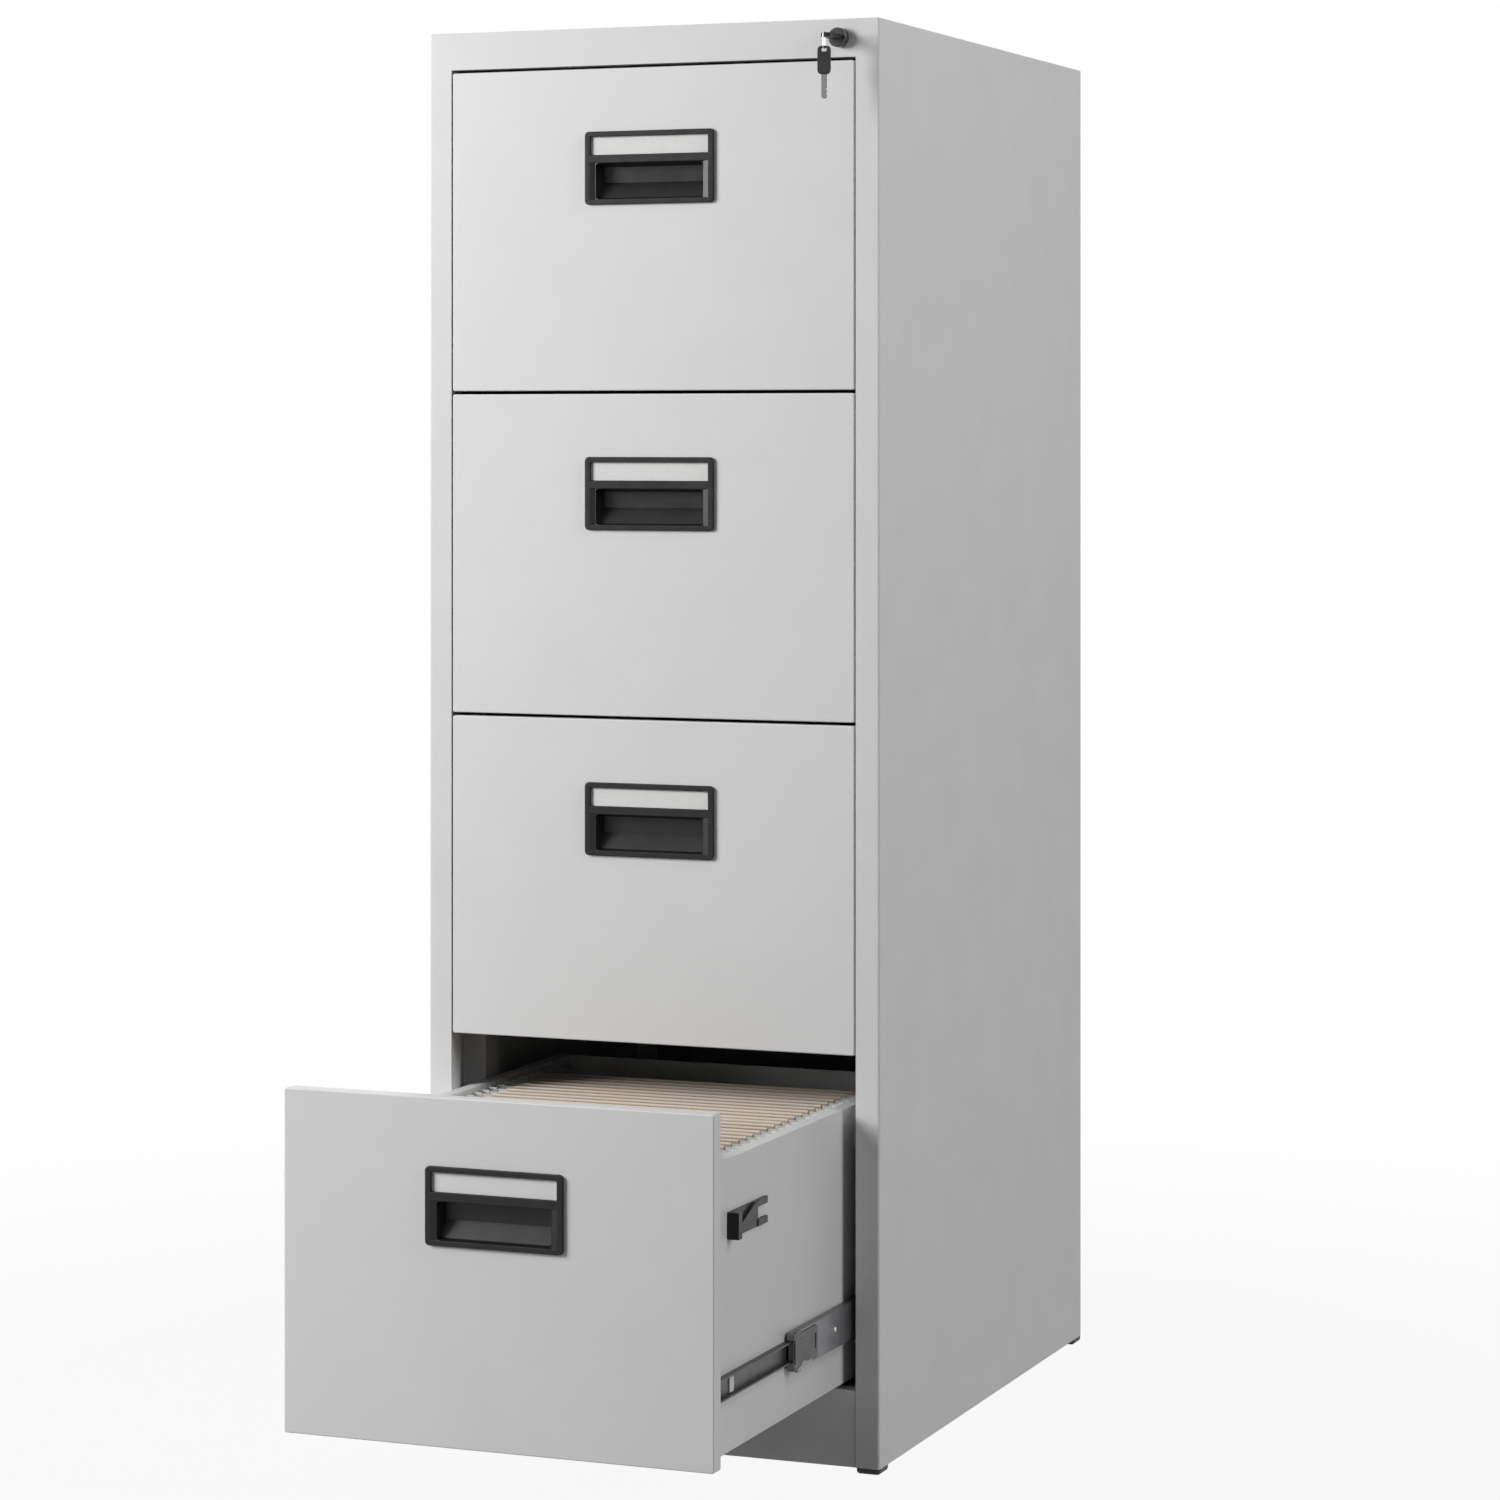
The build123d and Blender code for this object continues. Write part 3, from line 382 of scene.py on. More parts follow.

# %% [markdown]
# The folders are kraft card and the labels plain card. Card is pressed wood pulp: fibres a few
# millimetres long lie mostly one way, with darker specks between them. Folders also darken with age
# and handling, each a little differently. So the kraft gets long thin noise across the folder,
# speckles, a slow change of tone from folder to folder, and along the top of each folder a paler
# band that is a painted highlight, where light catches the folded hem.
# %% Cards and enamelled strip
rods_low, rods_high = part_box("folder_rods")


def kraft_card(name, colour, fibre, painted_highlight):
    """Tan kraft card with fibres along x, specks, and a painted highlight along its top."""
    material, tree, shader = new_material(name, {"IOR": 1.45, "Specular IOR Level": 0.25})
    fibres = spread(tree, noise(tree, 0.8 * mm, stretch=(9, 2, 1), detail=4.0), 0, 1)
    specks = spread(tree, noise(tree, 1.6 * mm, detail=0.0), 0, 0.35, 0.66, 0.76)
    body = blend_colours(tree, fibres, linear(colour), linear(fibre))
    aged = spread(tree, noise(tree, 48 * mm, stretch=(25, 1, 4), detail=1.0), 0, 0.7, 0.42, 0.6)
    body = blend_colours(tree, aged, body, linear("9c8c7b"))
    body = blend_colours(tree, specks, body, linear("6b5640"))
    place = add_node(tree, "ShaderNodeTexCoord").outputs["Object"]
    height = add_node(tree, "ShaderNodeSeparateXYZ", {"Vector": place}).outputs["Z"]
    # Painted highlight: the card turns paler just under the rods' top, where light catches the folded hem.
    painted_highlight_share = spread(tree, height, 0, 1, rods_high.z - 1.4 * mm, rods_high.z - 0.1 * mm)
    tree.links.new(blend_colours(tree, painted_highlight_share, body, linear(painted_highlight)), shader.inputs["Base Color"])
    tree.links.new(spread(tree, fibres, 0.78, 0.92, 0, 1), shader.inputs["Roughness"])
    tree.links.new(bump(tree, fibres, 0.06 * mm), shader.inputs["Normal"])
    return material


def plain_card(name, colour, fibre):
    """Uncoated card with fine fibres lying every way."""
    material, tree, shader = new_material(name, {"IOR": 1.45, "Specular IOR Level": 0.25})
    fibres = spread(tree, noise(tree, 0.9 * mm, stretch=(3, 1, 1), detail=4.0), 0, 1)
    tree.links.new(blend_colours(tree, fibres, linear(colour), linear(fibre)), shader.inputs["Base Color"])
    tree.links.new(spread(tree, fibres, 0.7, 0.85, 0, 1), shader.inputs["Roughness"])
    tree.links.new(bump(tree, fibres, 0.04 * mm), shader.inputs["Normal"])
    return material


# The last colour is the painted highlight along the folders' tops.
folder_kraft = kraft_card("tan_kraft_card", "c4b5a5", "b3a494", "d2c6b9")
label_card = plain_card("uncoated_label_card", "e3e3e2", "dadad9")
paper = plain_card("white_wood_pulp_paper", "e9e7e1", "dcd9d1")
rod_enamel = powder_coat("enamelled_steel_strip", "cfcfcb", "c2c2be", 0.35)
print("cards", folder_kraft.name, label_card.name, paper.name)

# %% [markdown]
# The parts that came with the frame have the right shapes already, so they only need their
# materials. Each keeps its mesh, and the material goes into its slots. Names of parts that are
# repeated for every drawer end in the same words, so one table by ending covers them all.
# %% Materials for the cabinet's own parts
finish_by_part = {
    "side_panel": cabinet_coat,
    "top_panel": cabinet_coat,
    "back_panel": cabinet_coat,
    "plinth": cabinet_coat,
    "base_pan": cabinet_coat,
    "slide_posts": cabinet_coat,
    "feet": foot_polyethylene,
    "front": drawer_coat,
    "front_liner": drawer_coat,
    "body": drawer_coat,
    "hanging_rails": drawer_coat,
    "grip": black_abs,
    "catch": black_abs,
    "lock_bar_guides": black_abs,
    "key_bow": black_abs,
    "label_card": label_card,
    "slide_inners": black_zinc,
    "slide_outer_members": black_zinc,
    "slide_middles": clear_zinc,
    "slide_rivets": bright_zinc,
    "lock_nut": bright_zinc,
    "lock_bar": bright_zinc,
    "lock_bar_head": bright_zinc,
    "lock_bar_hooks": bright_zinc,
    "lock_cam": bright_zinc,
    "lock_housing": lock_lacquer,
    "lock_plug": plug_nickel,
    "key_blade": key_nickel,
    "key_link": bright_zinc,
    "hanging_folders": folder_kraft,
    "folder_rods": rod_enamel,
}


def paint(part, material):
    """Give every material slot of a part the same material."""
    if not part.material_slots:
        part.data.materials.append(material)
    for slot in part.material_slots:
        slot.material = material


for part_name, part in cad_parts.items():
    endings = [ending for ending in finish_by_part if part_name.endswith(ending)]
    paint(part, finish_by_part[max(endings, key=len)])
print(len(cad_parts), "parts painted")

# %% [markdown]
# Small stamped parts, such as hooks, clips and keys, are flat pieces with a shaped outline, holes and
# slightly rounded edges. In Blender a flat curve does all of that: inner rings become holes, extrude
# gives the thickness, and bevel rounds the edges. The result becomes a mesh, is stood up in its
# real place, and has its seams merged. A cabinet is the same on both sides, so a mesh can also be
# mirrored, after which its faces are turned outwards again.
# %% Helpers for stamped parts
def rounded(corners, radius, steps=4):
    """An outline with each of its corners drawn as a short arc."""
    outline = []
    for index, corner in enumerate(corners):
        here = Vector(corner)
        to_last = Vector(corners[index - 1]) - here
        to_next = Vector(corners[(index + 1) % len(corners)]) - here
        reach = min(radius, 0.48 * to_last.length, 0.48 * to_next.length)
        start = here + to_last.normalized() * reach
        end = here + to_next.normalized() * reach
        for share in [step / steps for step in range(steps + 1)]:
            outline.append(start * (1 - share) ** 2 + here * 2 * share * (1 - share) + end * share ** 2)
    return outline


def box_corners(low_a, high_a, low_b, high_b):
    """The four corners of an upright rectangle."""
    return [(low_a, low_b), (high_a, low_b), (high_a, high_b), (low_a, high_b)]


def drawn(from_a, from_b, points):
    """Points in millimetres from a place in a flat drawing, turned to metres."""
    return [(from_a + a * mm, from_b + b * mm) for a, b in points]


def side_on(x):
    """Stands a flat drawing up square to x: its first axis runs along y and its second along z."""
    return Matrix(((0, 0, 1, x), (1, 0, 0, 0), (0, 1, 0, 0), (0, 0, 0, 1)))


def front_on(y):
    """Stands a flat drawing up square to y: its first axis runs along x and its second along z."""
    return Matrix(((1, 0, 0, 0), (0, 0, -1, y), (0, 1, 0, 0), (0, 0, 0, 1)))


def stamped(rings, thickness, edge, standing):
    """A sheet part: its first ring is the outline, the others are holes. The edges are rounded."""
    drawing = bpy.data.curves.new("stamping", "CURVE")
    drawing.dimensions = "2D"
    drawing.fill_mode = "BOTH"
    drawing.extrude = thickness / 2 - edge
    drawing.bevel_depth = edge
    drawing.bevel_resolution = 1
    drawing.offset = -edge
    for ring in rings:
        spline = drawing.splines.new("POLY")
        spline.points.add(len(ring) - 1)
        for point, (a, b) in zip(spline.points, ring):
            point.co = (a, b, 0, 1)
        spline.use_cyclic_u = True
    sheet_part = bpy.data.objects.new("stamping", drawing)
    mesh = bpy.data.meshes.new_from_object(sheet_part)
    bpy.data.objects.remove(sheet_part)
    mesh.transform(standing)
    return mesh


def with_mirror(meshes):
    """The same meshes and their mirror images on the cabinet's other side."""
    both = list(meshes)
    for mesh in meshes:
        twin = mesh.copy()
        twin.transform(Matrix.Diagonal((-1, 1, 1, 1)))
        both.append(twin)
    return both


def joined(name, meshes):
    """One mesh out of several, with their seams merged and their faces turned outwards."""
    form = bmesh.new()
    for mesh in meshes:
        form.from_mesh(mesh)
    bmesh.ops.remove_doubles(form, verts=form.verts, dist=0.002 * mm)
    bmesh.ops.recalc_face_normals(form, faces=form.faces)
    whole = bpy.data.meshes.new(name)
    form.to_mesh(whole)
    form.free()
    return whole


def add_piece(name, mesh, body, material):
    """A piece of the cabinet made of one mesh and one material, which moves with a body."""
    mesh.materials.clear()
    mesh.materials.append(material)
    piece = bpy.data.objects.new(name, mesh)
    bpy.context.scene.collection.objects.link(piece)
    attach(piece, body)
    print(name, "has", len(mesh.polygons), "faces and moves with", body)
    return piece


# %% [markdown]
# Twelve hanging folders stand one behind the other at an even distance, and so do their hooks and
# papers. Copying them by hand would work, but a Geometry Nodes tree keeps them one row with a few
# plain sizes. This one sets a thing out in even steps, lets each copy hang a little lower by a
# seeded random amount, and can make the copies slightly wavy below a calm height, as card is. Its
# inputs are set by their identifiers, and the result becomes a plain mesh.
# %% Row of equal things
row_inputs = {
    "Thing": "NodeSocketObject",
    "Count": "NodeSocketInt",
    "First Place": "NodeSocketVector",
    "Step": "NodeSocketVector",
    "Largest Drop": "NodeSocketFloat",
    "Waviness": "NodeSocketFloat",
    "Calm Height": "NodeSocketFloat",
    "Seed": "NodeSocketInt",
    "Material": "NodeSocketMaterial",
}
wave_size = 85 * mm
wave_fade = 70 * mm


def along(tree, axis, amount):
    """A vector along one axis out of a single number."""
    return add_node(tree, "ShaderNodeCombineXYZ", {axis: amount}).outputs["Vector"]


def row_tree():
    """The tree that sets copies of a thing out in a row of even steps."""
    tree = bpy.data.node_groups.new("even_row", "GeometryNodeTree")
    for name, kind in row_inputs.items():
        tree.interface.new_socket(name, in_out="INPUT", socket_type=kind)
    tree.interface.new_socket("Geometry", in_out="OUTPUT", socket_type="NodeSocketGeometry")
    given = add_node(tree, "NodeGroupInput").outputs
    line = add_node(
        tree,
        "GeometryNodeMeshLine",
        {"Count": given["Count"], "Start Location": given["First Place"], "Offset": given["Step"]},
    )
    drop = add_node(tree, "FunctionNodeRandomValue", {"Seed": given["Seed"]}, data_type="FLOAT")
    tree.links.new(given["Largest Drop"], drop.inputs[3])
    lower = add_node(
        tree,
        "ShaderNodeVectorMath",
        {0: along(tree, "Z", drop.outputs[1]), "Scale": -1.0},
        operation="SCALE",
    )
    places = add_node(
        tree,
        "GeometryNodeSetPosition",
        {"Geometry": line.outputs["Mesh"], "Offset": lower.outputs["Vector"]},
    )
    thing = add_node(tree, "GeometryNodeObjectInfo", {"Object": given["Thing"], "As Instance": True})
    copies = add_node(
        tree,
        "GeometryNodeInstanceOnPoints",
        {"Points": places.outputs["Geometry"], "Instance": thing.outputs["Geometry"]},
    )
    solid = add_node(tree, "GeometryNodeRealizeInstances", {"Geometry": copies.outputs["Instances"]})
    place = add_node(tree, "GeometryNodeInputPosition").outputs["Position"]
    height = add_node(tree, "ShaderNodeSeparateXYZ", {"Vector": place}).outputs["Z"]
    below = add_node(tree, "ShaderNodeMath", {0: given["Calm Height"], 1: height}, operation="SUBTRACT")
    share = add_node(
        tree,
        "ShaderNodeMapRange",
        {"Value": below.outputs["Value"], "From Max": wave_fade},
        interpolation_type="SMOOTHSTEP",
    )
    lumps = add_node(
        tree, "ShaderNodeTexNoise", {"Vector": place, "Scale": per_metre(wave_size), "Detail": 1.0}
    )
    swing = spread(tree, lumps.outputs["Fac"], -1, 1)
    sized = add_node(tree, "ShaderNodeMath", {0: swing, 1: given["Waviness"]}, operation="MULTIPLY")
    faded = add_node(
        tree,
        "ShaderNodeMath",
        {0: sized.outputs["Value"], 1: share.outputs["Result"]},
        operation="MULTIPLY",
    )
    bent = add_node(
        tree,
        "GeometryNodeSetPosition",
        {"Geometry": solid.outputs["Geometry"], "Offset": along(tree, "Y", faded.outputs["Value"])},
    )
    finished = add_node(
        tree,
        "GeometryNodeSetMaterial",
        {"Geometry": bent.outputs["Geometry"], "Material": given["Material"]},
    )
    add_node(tree, "NodeGroupOutput", {"Geometry": finished.outputs["Geometry"]})
    return tree


even_row = row_tree()


def row_of(name, thing_mesh, values):
    """Set copies of a mesh out with the row's tree, and return them as one plain mesh."""
    thing = bpy.data.objects.new(name + "_thing", thing_mesh)
    carrier = bpy.data.objects.new(name + "_carrier", bpy.data.meshes.new(name + "_carrier"))
    for helper in (thing, carrier):
        bpy.context.scene.collection.objects.link(helper)
    values = {"Thing": thing, **values}
    modifier = carrier.modifiers.new("row", "NODES")
    modifier.node_group = even_row
    for socket in even_row.interface.items_tree:
        if socket.name in values:
            modifier[socket.identifier] = values[socket.name]
    bpy.context.view_layer.update()
    graph = bpy.context.evaluated_depsgraph_get()
    mesh = bpy.data.meshes.new_from_object(carrier.evaluated_get(graph))
    mesh.name = name
    for helper in (thing, carrier):
        bpy.data.objects.remove(helper)
    return mesh


print("row tree has", len(even_row.nodes), "nodes")

# %% [markdown]
# A hanging folder is one sheet of kraft card. It is scored to a narrow V at the bottom, and each top
# edge is folded over a steel rod and glued down again. Below each rod it has a row of slots for
# tabs. Card is stiff, so nothing here needs a cloth simulation: a line in y and z gives the folded
# shape, and sweeping it along x makes the sheet. The slots are faces left out, before a Solidify
# modifier gives the card its thickness.
# %% One hanging folder
folders_low, folders_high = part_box("hanging_folders")
folder_count = 12
folder_pitch = 34.4 * mm
first_folder_y = folders_low.y + 8 * mm
folder_half_width = folders_high.x - 15 * mm
card_thickness = 0.5 * mm
slot_pitch = 25 * mm
slot_half_length = 6 * mm


def swept_sheet(name, line, stations, thickness, holes=()):
    """A thin sheet: a line of (y, z) points swept through stations along x, then thickened."""
    form = bmesh.new()
    rows = [[form.verts.new((x, y, z)) for x in stations] for y, z in line]
    for i in range(len(line) - 1):
        for j in range(len(stations) - 1):
            if (i, j) not in holes:
                form.faces.new((rows[i][j], rows[i][j + 1], rows[i + 1][j + 1], rows[i + 1][j]))
    mesh = bpy.data.meshes.new(name)
    form.to_mesh(mesh)
    form.free()
    sheet = bpy.data.objects.new(name, mesh)
    bpy.context.scene.collection.objects.link(sheet)
    thick = sheet.modifiers.new("thickness", "SOLIDIFY")
    thick.thickness = thickness
    thick.offset = 0
    graph = bpy.context.evaluated_depsgraph_get()
    solid = bpy.data.meshes.new_from_object(sheet.evaluated_get(graph))
    bpy.data.objects.remove(sheet)
    return solid


leaf_bottom = (0.8 * mm, folders_low.z + 1 * mm)
leaf_top = (7.6 * mm, folders_high.z - 0.8 * mm)
slot_height = folders_high.z - 13 * mm
slot_half_height = 0.7 * mm
leaf_step = 17.5 * mm


def leaf_share(z):
    """How far up a leaf a height is, from 0 at its bottom to 1 at its top."""
    return (z - leaf_bottom[1]) / (leaf_top[1] - leaf_bottom[1])


def leaf_out(z):
    """How far a leaf stands from the folder's middle at a height."""
    return leaf_bottom[0] + leaf_share(z) * (leaf_top[0] - leaf_bottom[0])


hem_line = [(8.1, 0.3), (8.8, 0.5), (9.5, 0.2), (9.8, -0.6), (9.9, -5), (9.7, -11)]
leaf_heights = [leaf_bottom[1] + step * leaf_step for step in range(1, 13)]
leaf_heights += [slot_height - slot_half_height, slot_height + slot_half_height]
leaf_line = [leaf_bottom] + [(leaf_out(z), z) for z in leaf_heights] + [leaf_top]
leaf_line += drawn(0, folders_high.z, hem_line)
folder_line = [(-y, z) for y, z in reversed(leaf_line)] + leaf_line
slot_centres = [step * slot_pitch for step in range(-6, 7)]
folder_stations = [-folder_half_width, folder_half_width]
for centre in slot_centres:
    folder_stations += [centre - slot_half_length, centre, centre + slot_half_length]
folder_stations.sort()
slot_reach = slot_half_height + 0.1 * mm
slot_rows = [
    i
    for i, (lower, upper) in enumerate(zip(folder_line, folder_line[1:]))
    if max(abs(lower[1] - slot_height), abs(upper[1] - slot_height)) < slot_reach
]
slot_columns = [
    j
    for j, (left, right) in enumerate(zip(folder_stations, folder_stations[1:]))
    if any(abs((left + right) / 2 - centre) < slot_half_length for centre in slot_centres)
]
slot_faces = {(i, j) for i in slot_rows for j in slot_columns}
folder_mesh = swept_sheet("folder", folder_line, folder_stations, card_thickness, slot_faces)
folder_values = {
    "Count": folder_count,
    "First Place": (0, first_folder_y, 0),
    "Step": (0, folder_pitch, 0),
    "Waviness": 0.9 * mm,
    "Calm Height": folders_high.z - 16 * mm,
    "Material": folder_kraft,
}
folder_row_mesh = row_of("folder_row", folder_mesh, folder_values)
folder_row = add_piece("folder_row", folder_row_mesh, "drawer_4", folder_kraft)
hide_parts("hanging_folders")

# %% [markdown]
# Each folder holds a manila file and some sheets of paper, which fan out from the bottom fold, lean
# against its two leaves and end a little below its edge. They are seen only from above, between the
# leaves. Near the fold they run together, which no view shows. The same row sets them out, each
# folder's at its own random height. For each kind, the table below gives the leaf it leans on, how
# far it starts above the folder's bottom and ends from its top, how far each sheet stands off the
# leaf, all in millimetres, and its two ends along x.
# %% Papers in the folders
paper_half_width = folder_half_width - 22 * mm
manila_half_width = paper_half_width + 9 * mm
insert_thickness = 0.6 * mm


def leaning(side, low, high, inset):
    """The line of a sheet that leans against one leaf of a folder, from low to high."""
    heights = [low + step * (high - low) / 8 for step in range(9)]
    return [(side * (leaf_out(z) - inset * min(1, 2 * leaf_share(z))), z) for z in heights]


def sheet_stations(left, right):
    """Nine stations along x, at even distances."""
    return [left + step * (right - left) / 8 for step in range(9)]


inserts = {
    "manila_insert": (-1, 26, -1.2, (1.1, 2.2, 3.3, 4.4, 5.5), -manila_half_width, manila_half_width),
    "front_paper": (1, 30, -4, (1.3, 2.3, 3.3), -paper_half_width, paper_half_width - 6 * mm),
    "rear_paper": (1, 34, -9, (4.4, 5.4), -paper_half_width + 12 * mm, paper_half_width),
}
for name, (side, lift, under, insets, left, right) in inserts.items():
    sheets = []
    for inset in insets:
        line = leaning(side, folders_low.z + lift * mm, folders_high.z + under * mm, inset * mm)
        sheets.append(swept_sheet(name, line, sheet_stations(left, right), insert_thickness))
    insert_mesh = joined(name, sheets)
    insert_material = folder_kraft if name == "manila_insert" else paper
    insert_values = {
        **folder_values,
        "Waviness": 0.5 * mm,
        "Largest Drop": 3 * mm,
        "Seed": 4,
        "Material": insert_material,
    }
    row = row_of(name + "s", insert_mesh, insert_values)
    add_piece(name + "s", row, "drawer_4", insert_material)

# %% [markdown]
# Each rod ends in a pale plastic hook that drops over the drawer's rail. The hooks stand in an even
# row along both rails, where the photograph shows them as a line of light blobs. A hook is a small
# moulding with an outline, so it is stamped from a flat curve, and the row sets out the four hooks
# of a folder at a time.
# %% Hooks on the rods
hook_thickness = 2.6 * mm
rod_offset = 8.6 * mm
rail_inner = folders_high.x + 3 * mm
rail_outer = rail_inner + 2 * mm
rail_top = rods_low.z + 3 * mm
hook_inner = folders_high.x + 0.2 * mm
hook_outer = rods_high.x + 0.6 * mm
hook_top = rods_high.z + 0.9 * mm
hook_outline = [
    (hook_inner, hook_top),
    (hook_inner, rods_low.z - 1 * mm),
    (rail_inner - 0.4 * mm, rods_low.z - 1 * mm),
    (rail_inner - 0.4 * mm, rail_top),
    (rail_outer + 0.4 * mm, rail_top),
    (rail_outer + 0.4 * mm, rods_low.z - 2 * mm),
    (hook_outer - 1.5 * mm, rods_low.z - 2 * mm),
    (hook_outer, rods_low.z + 1.5 * mm),
    (hook_outer, hook_top - 1.6 * mm),
    (hook_outer - 1.6 * mm, hook_top),
]
hook_pair = [
    stamped([rounded(hook_outline, 0.7 * mm)], hook_thickness, 0.4 * mm, front_on(side * rod_offset))
    for side in (-1, 1)
]
hook_values = {
    "Count": folder_count,
    "First Place": (0, first_folder_y, 0),
    "Step": (0, folder_pitch, 0),
    "Material": hook_plastic,
}
hooks = row_of("rod_hooks", joined("hooks", with_mirror(hook_pair)), hook_values)
add_piece("rod_hooks", hooks, "drawer_4", hook_plastic)

# %% [markdown]
# The front end of each middle slide member carries a riveted latch plate with two ears, a release
# lever on it, a moulded stop between the two members that keeps the ball cage in, and bumpers that
# the drawer closes against. They are parts of a few millimetres, drawn from the front end and the
# axis of the member, so one cell serves all eight slides. What sits on the right is mirrored to
# the left. The bumpers stay clear of the inner member, which slides between them.
# %% Latch plates, levers and bumpers on the slides
latch_thickness = 1.2 * mm
lever_thickness = 0.5 * mm
stop_thickness = 4 * mm
bumper_thickness = 2 * mm
latch_outline = [(0, -15), (2, -18.5), (12, -18.5), (14, -15), (52, -15), (55, -12), (55, 12)]
latch_outline += [(52, 15), (14, 15), (12, 18.5), (2, 18.5), (0, 15)]
latch_slot = box_corners(48, 51.5, -6, 8)
lever_outline = [(3, -17.8), (8, -17.8), (12, -16.2), (38, -16.2), (40, -14.4), (38, -12.8)]
lever_outline += [(27, -12.6), (24, -10.6), (17, -10.6), (13, -13.4), (7, -14.8), (3, -15.4)]
stop_outline = box_corners(-6.1, -1.4, -8, 8)
bumper_outlines = [box_corners(-6.6, 1.2, low, high) for low, high in ((-16.5, -10.4), (10.4, 16.5))]
for number in drawer_numbers:
    body = f"drawer_{number}_middles"
    middle_low, middle_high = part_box(f"drawer_{number}_slide_middles")
    front_end = middle_low.y
    axis = (middle_low.z + middle_high.z) / 2
    web = middle_high.x

    latch_rings = [
        rounded(drawn(front_end, axis, latch_outline), 1.2 * mm),
        rounded(drawn(front_end, axis, latch_slot), 1.0 * mm),
    ]
    latch = stamped(latch_rings, latch_thickness, 0.25 * mm, side_on(web + latch_thickness / 2))
    latch_plates = joined("latch_plates", with_mirror([latch]))
    add_piece(f"drawer_{number}_latch_plates", latch_plates, body, black_zinc)

    lever_ring = rounded(drawn(front_end, axis, lever_outline), 1.0 * mm)
    lever_x = web + latch_thickness + lever_thickness / 2
    lever = stamped([lever_ring], lever_thickness, 0.12 * mm, side_on(lever_x))
    levers = joined("levers", with_mirror([lever]))
    add_piece(f"drawer_{number}_latch_levers", levers, body, dull_zinc)

    stop_ring = rounded(drawn(web, axis, stop_outline), 1.0 * mm)
    stop = stamped([stop_ring], stop_thickness, 0.4 * mm, front_on(front_end + 2.6 * mm))
    stops = joined("stops", with_mirror([stop]))
    add_piece(f"drawer_{number}_cage_stops", stops, body, bumper_nylon)

    bumper_meshes = []
    for outline in bumper_outlines:
        bumper_ring = rounded(drawn(web, axis, outline), 1.4 * mm)
        standing = front_on(front_end - bumper_thickness / 2)
        bumper_meshes.append(stamped([bumper_ring], bumper_thickness, 0.4 * mm, standing))
    bumpers = joined("bumpers", with_mirror(bumper_meshes))
    add_piece(f"drawer_{number}_slide_bumpers", bumpers, body, bumper_nylon)

# %% [markdown]
# Each middle member also shows the domed heads of the rivets that hold its ball cage stops. A dome
# is a short spin of an arc, and the row sets three of them out on each side.
# %% Rivet heads on the slides
def dome(radius, height, facing, place, rings=3, sides=20):
    """A low dome whose top looks along a direction."""
    form = bmesh.new()
    loops = []
    for ring in range(rings):
        turn = ring / rings * pi / 2
        loop = []
        for side in range(sides):
            spin = 2 * pi * side / sides
            reach = radius * cos(turn)
            loop.append(form.verts.new((height * sin(turn), reach * cos(spin), reach * sin(spin))))
        loops.append(loop)
    tip = form.verts.new((height, 0, 0))
    for lower, upper in zip(loops, loops[1:]):
        for side in range(sides):
            after = (side + 1) % sides
            form.faces.new((lower[side], lower[after], upper[after], upper[side]))
    for side in range(sides):
        form.faces.new((loops[-1][side], loops[-1][(side + 1) % sides], tip))
    form.faces.new(reversed(loops[0]))
    mesh = bpy.data.meshes.new("dome")
    form.to_mesh(mesh)
    form.free()
    turned = Vector((1, 0, 0)).rotation_difference(Vector(facing)).to_matrix().to_4x4()
    mesh.transform(Matrix.Translation(place) @ turned)
    return mesh


for number in drawer_numbers:
    middle_low, middle_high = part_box(f"drawer_{number}_slide_middles")
    axis = (middle_low.z + middle_high.z) / 2
    head = dome(2.4 * mm, 0.9 * mm, (1, 0, 0), (middle_high.x, 0, axis))
    head_values = {
        "Count": 3,
        "First Place": (0, middle_low.y + 103.4 * mm, 0),
        "Step": (0, 150 * mm, 0),
        "Material": bright_zinc,
    }
    heads = row_of("heads", joined("head_pair", with_mirror([head])), head_values)
    body = f"drawer_{number}_middles"
    add_piece(f"drawer_{number}_slide_rivet_heads", heads, body, bright_zinc)

# %% [markdown]
# The back panel is held by blind rivets that were painted over with the rest. They stand in two
# upright rows, one rivet every 190 mm, so the same row of equal things sets them out, this time
# along z. Their heads are so low that they stay inside the fold of the side panels.
# %% Rivets in the back panel
back_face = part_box("back_panel")[1].y
back_head = dome(3.2 * mm, 0.7 * mm, (0, 1, 0), (198 * mm, back_face, 0))
back_values = {
    "Count": 7,
    "First Place": (0, 0, 95 * mm),
    "Step": (0, 0, 190 * mm),
    "Material": cabinet_coat,
}
back_heads = row_of("back_rivets", joined("back_head_pair", with_mirror([back_head])), back_values)
add_piece("back_rivets", back_heads, "cabinet", cabinet_coat)

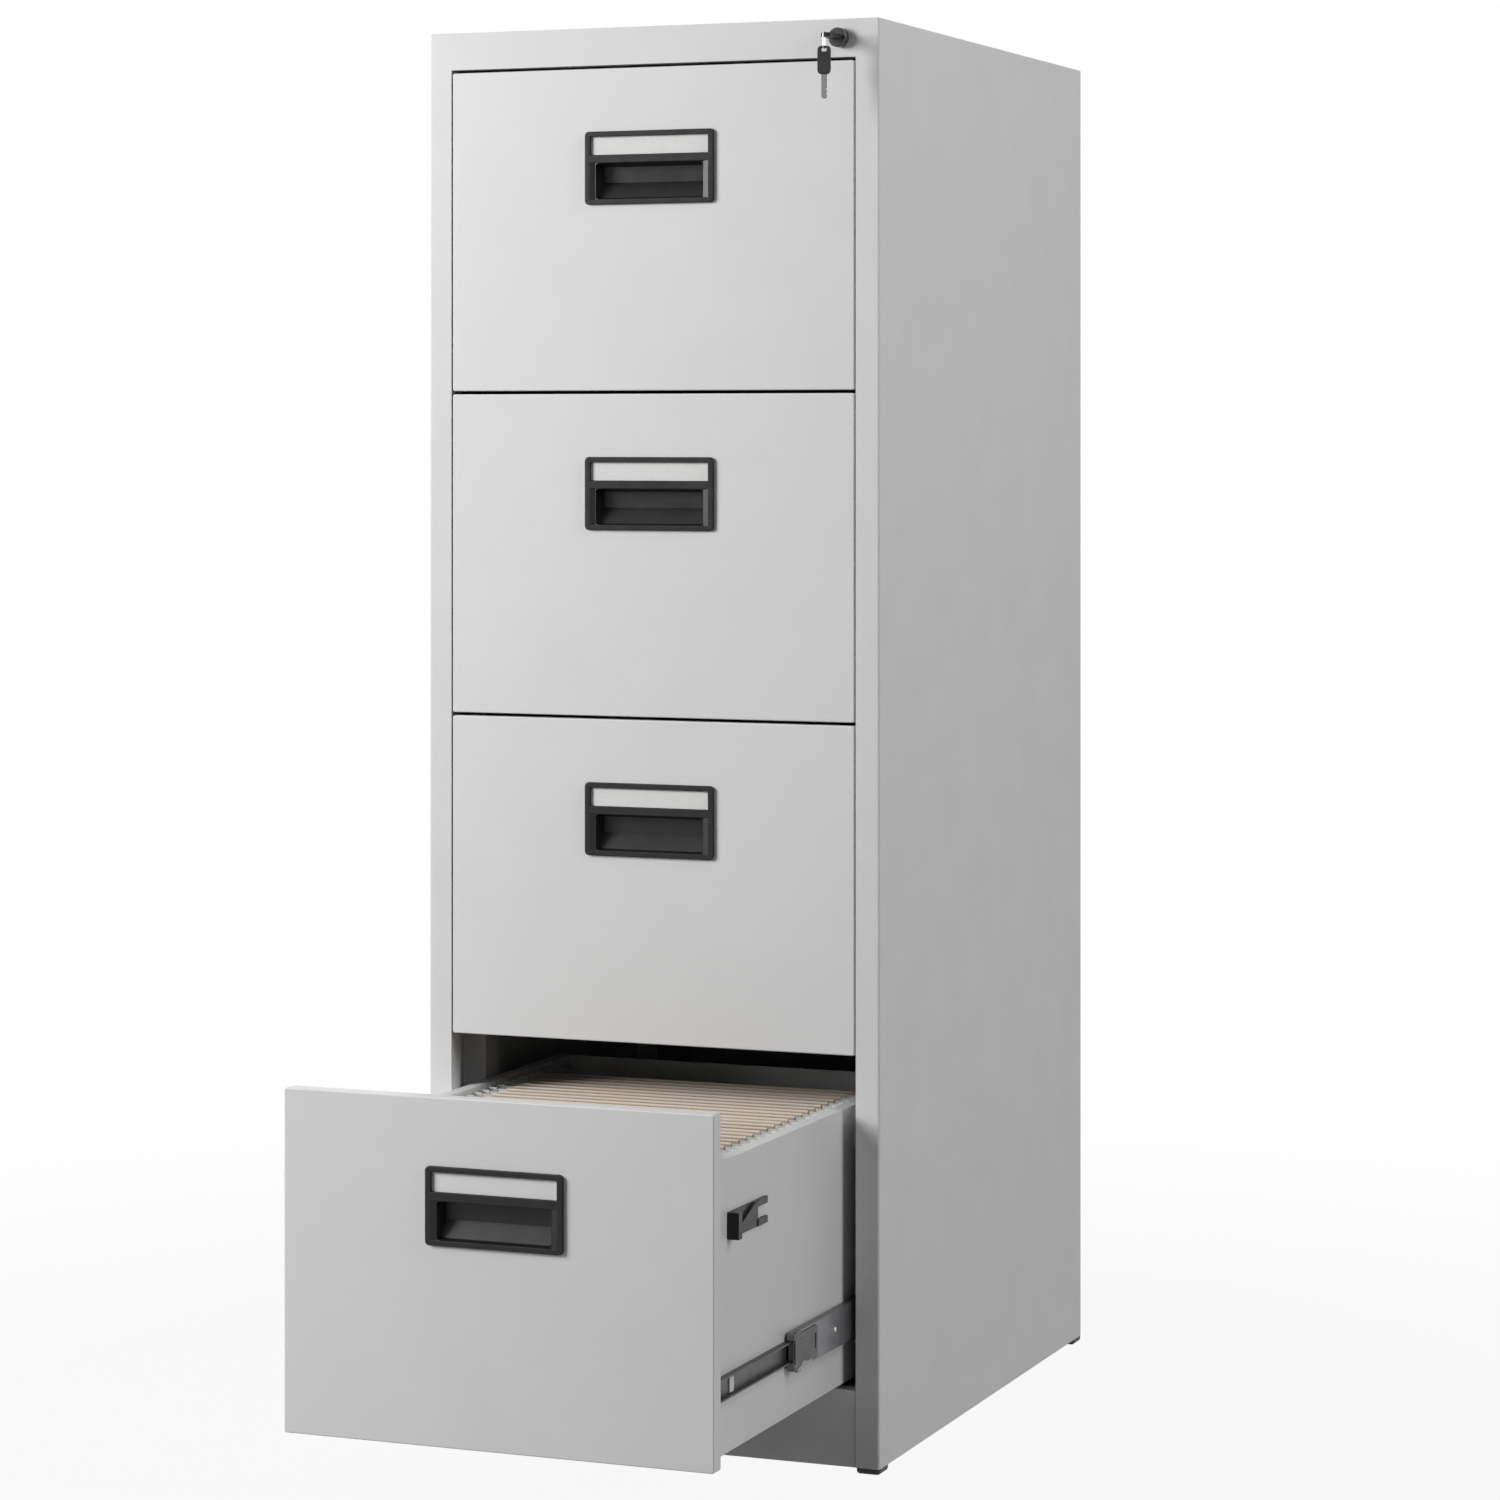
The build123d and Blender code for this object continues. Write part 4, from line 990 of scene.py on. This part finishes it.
# %% [markdown]
# The inner slide member is hung on two painted lugs, which are pushed out of the drawer's side and
# show through slots in the dark steel. They are why the member has a pale upright mark near its
# front end.
# %% Lugs that carry the inner slide members
lug_length = 9.5 * mm
lug_pitch = 440 * mm
for number in drawer_numbers:
    inner_low, inner_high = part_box(f"drawer_{number}_slide_inners")
    axis = (inner_low.z + inner_high.z) / 2
    lug_y = inner_low.y + 33.4 * mm
    web_face = inner_high.x - 5 * mm
    lug_meshes = []
    for start in (lug_y, lug_y + lug_pitch):
        lug_outline = box_corners(start, start + lug_length, axis - 7.4 * mm, axis + 7.2 * mm)
        lug_ring = rounded(lug_outline, 1.2 * mm)
        lug_meshes.append(stamped([lug_ring], 1.2 * mm, 0.3 * mm, side_on(web_face + 0.5 * mm)))
    lugs = joined("lugs", with_mirror(lug_meshes))
    add_piece(f"drawer_{number}_slide_lugs", lugs, f"drawer_{number}", drawer_coat)

# %% [markdown]
# The spare key hangs flat on the wire link by the hole in its moulded head. Its head is as wide and
# as thick as that of the key in the lock. Its blade is plated brass with three cuts along one edge,
# drawn one by one, since the photograph doesn't resolve them.
# %% Spare key
link_low, link_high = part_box("key_link")
bow_low, bow_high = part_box("key_bow")
link_x = (link_low.x + link_high.x) / 2
link_y = (link_low.y + link_high.y) / 2
link_wire = 1 * mm
spare_hole_top = link_low.z + link_wire + 0.05 * mm
spare_top = spare_hole_top + 1.9 * mm
spare_width = bow_high.x - bow_low.x
spare_thickness = bow_high.z - bow_low.z
spare_half = spare_width / 2 / mm
spare_head_outline = [(-spare_half, 0), (spare_half, 0), (spare_half, -26), (-spare_half, -26)]
spare_hole = box_corners(-3, 3, -1.9 - 3.4, -1.9)
spare_rings = [
    rounded(drawn(link_x, spare_top, spare_head_outline), 4.5 * mm),
    rounded(drawn(link_x, spare_top, spare_hole), 1.6 * mm),
]
spare_head = stamped(spare_rings, spare_thickness, 0.5 * mm, front_on(link_y))
add_piece("spare_key_head", joined("spare_key_head", [spare_head]), "key_link", black_abs)
blade_outline = [(-2.6, -24), (-2.6, -46.5), (-1.1, -48), (1.1, -48), (2.6, -46.5), (2.6, -44.5)]
blade_outline += [(1.6, -43.5), (2.6, -42.5), (2.6, -40.5), (1.2, -39.2), (2.6, -38), (2.6, -36)]
blade_outline += [(1.8, -35.2), (2.6, -34.4), (2.6, -24)]
blade_ring = drawn(link_x, spare_top, blade_outline)
spare_blade = stamped([blade_ring], 1.6 * mm, 0.2 * mm, front_on(link_y))
spare_blade = joined("spare_key_blade", [spare_blade])
add_piece("spare_key_blade", spare_blade, "key_link", key_nickel)
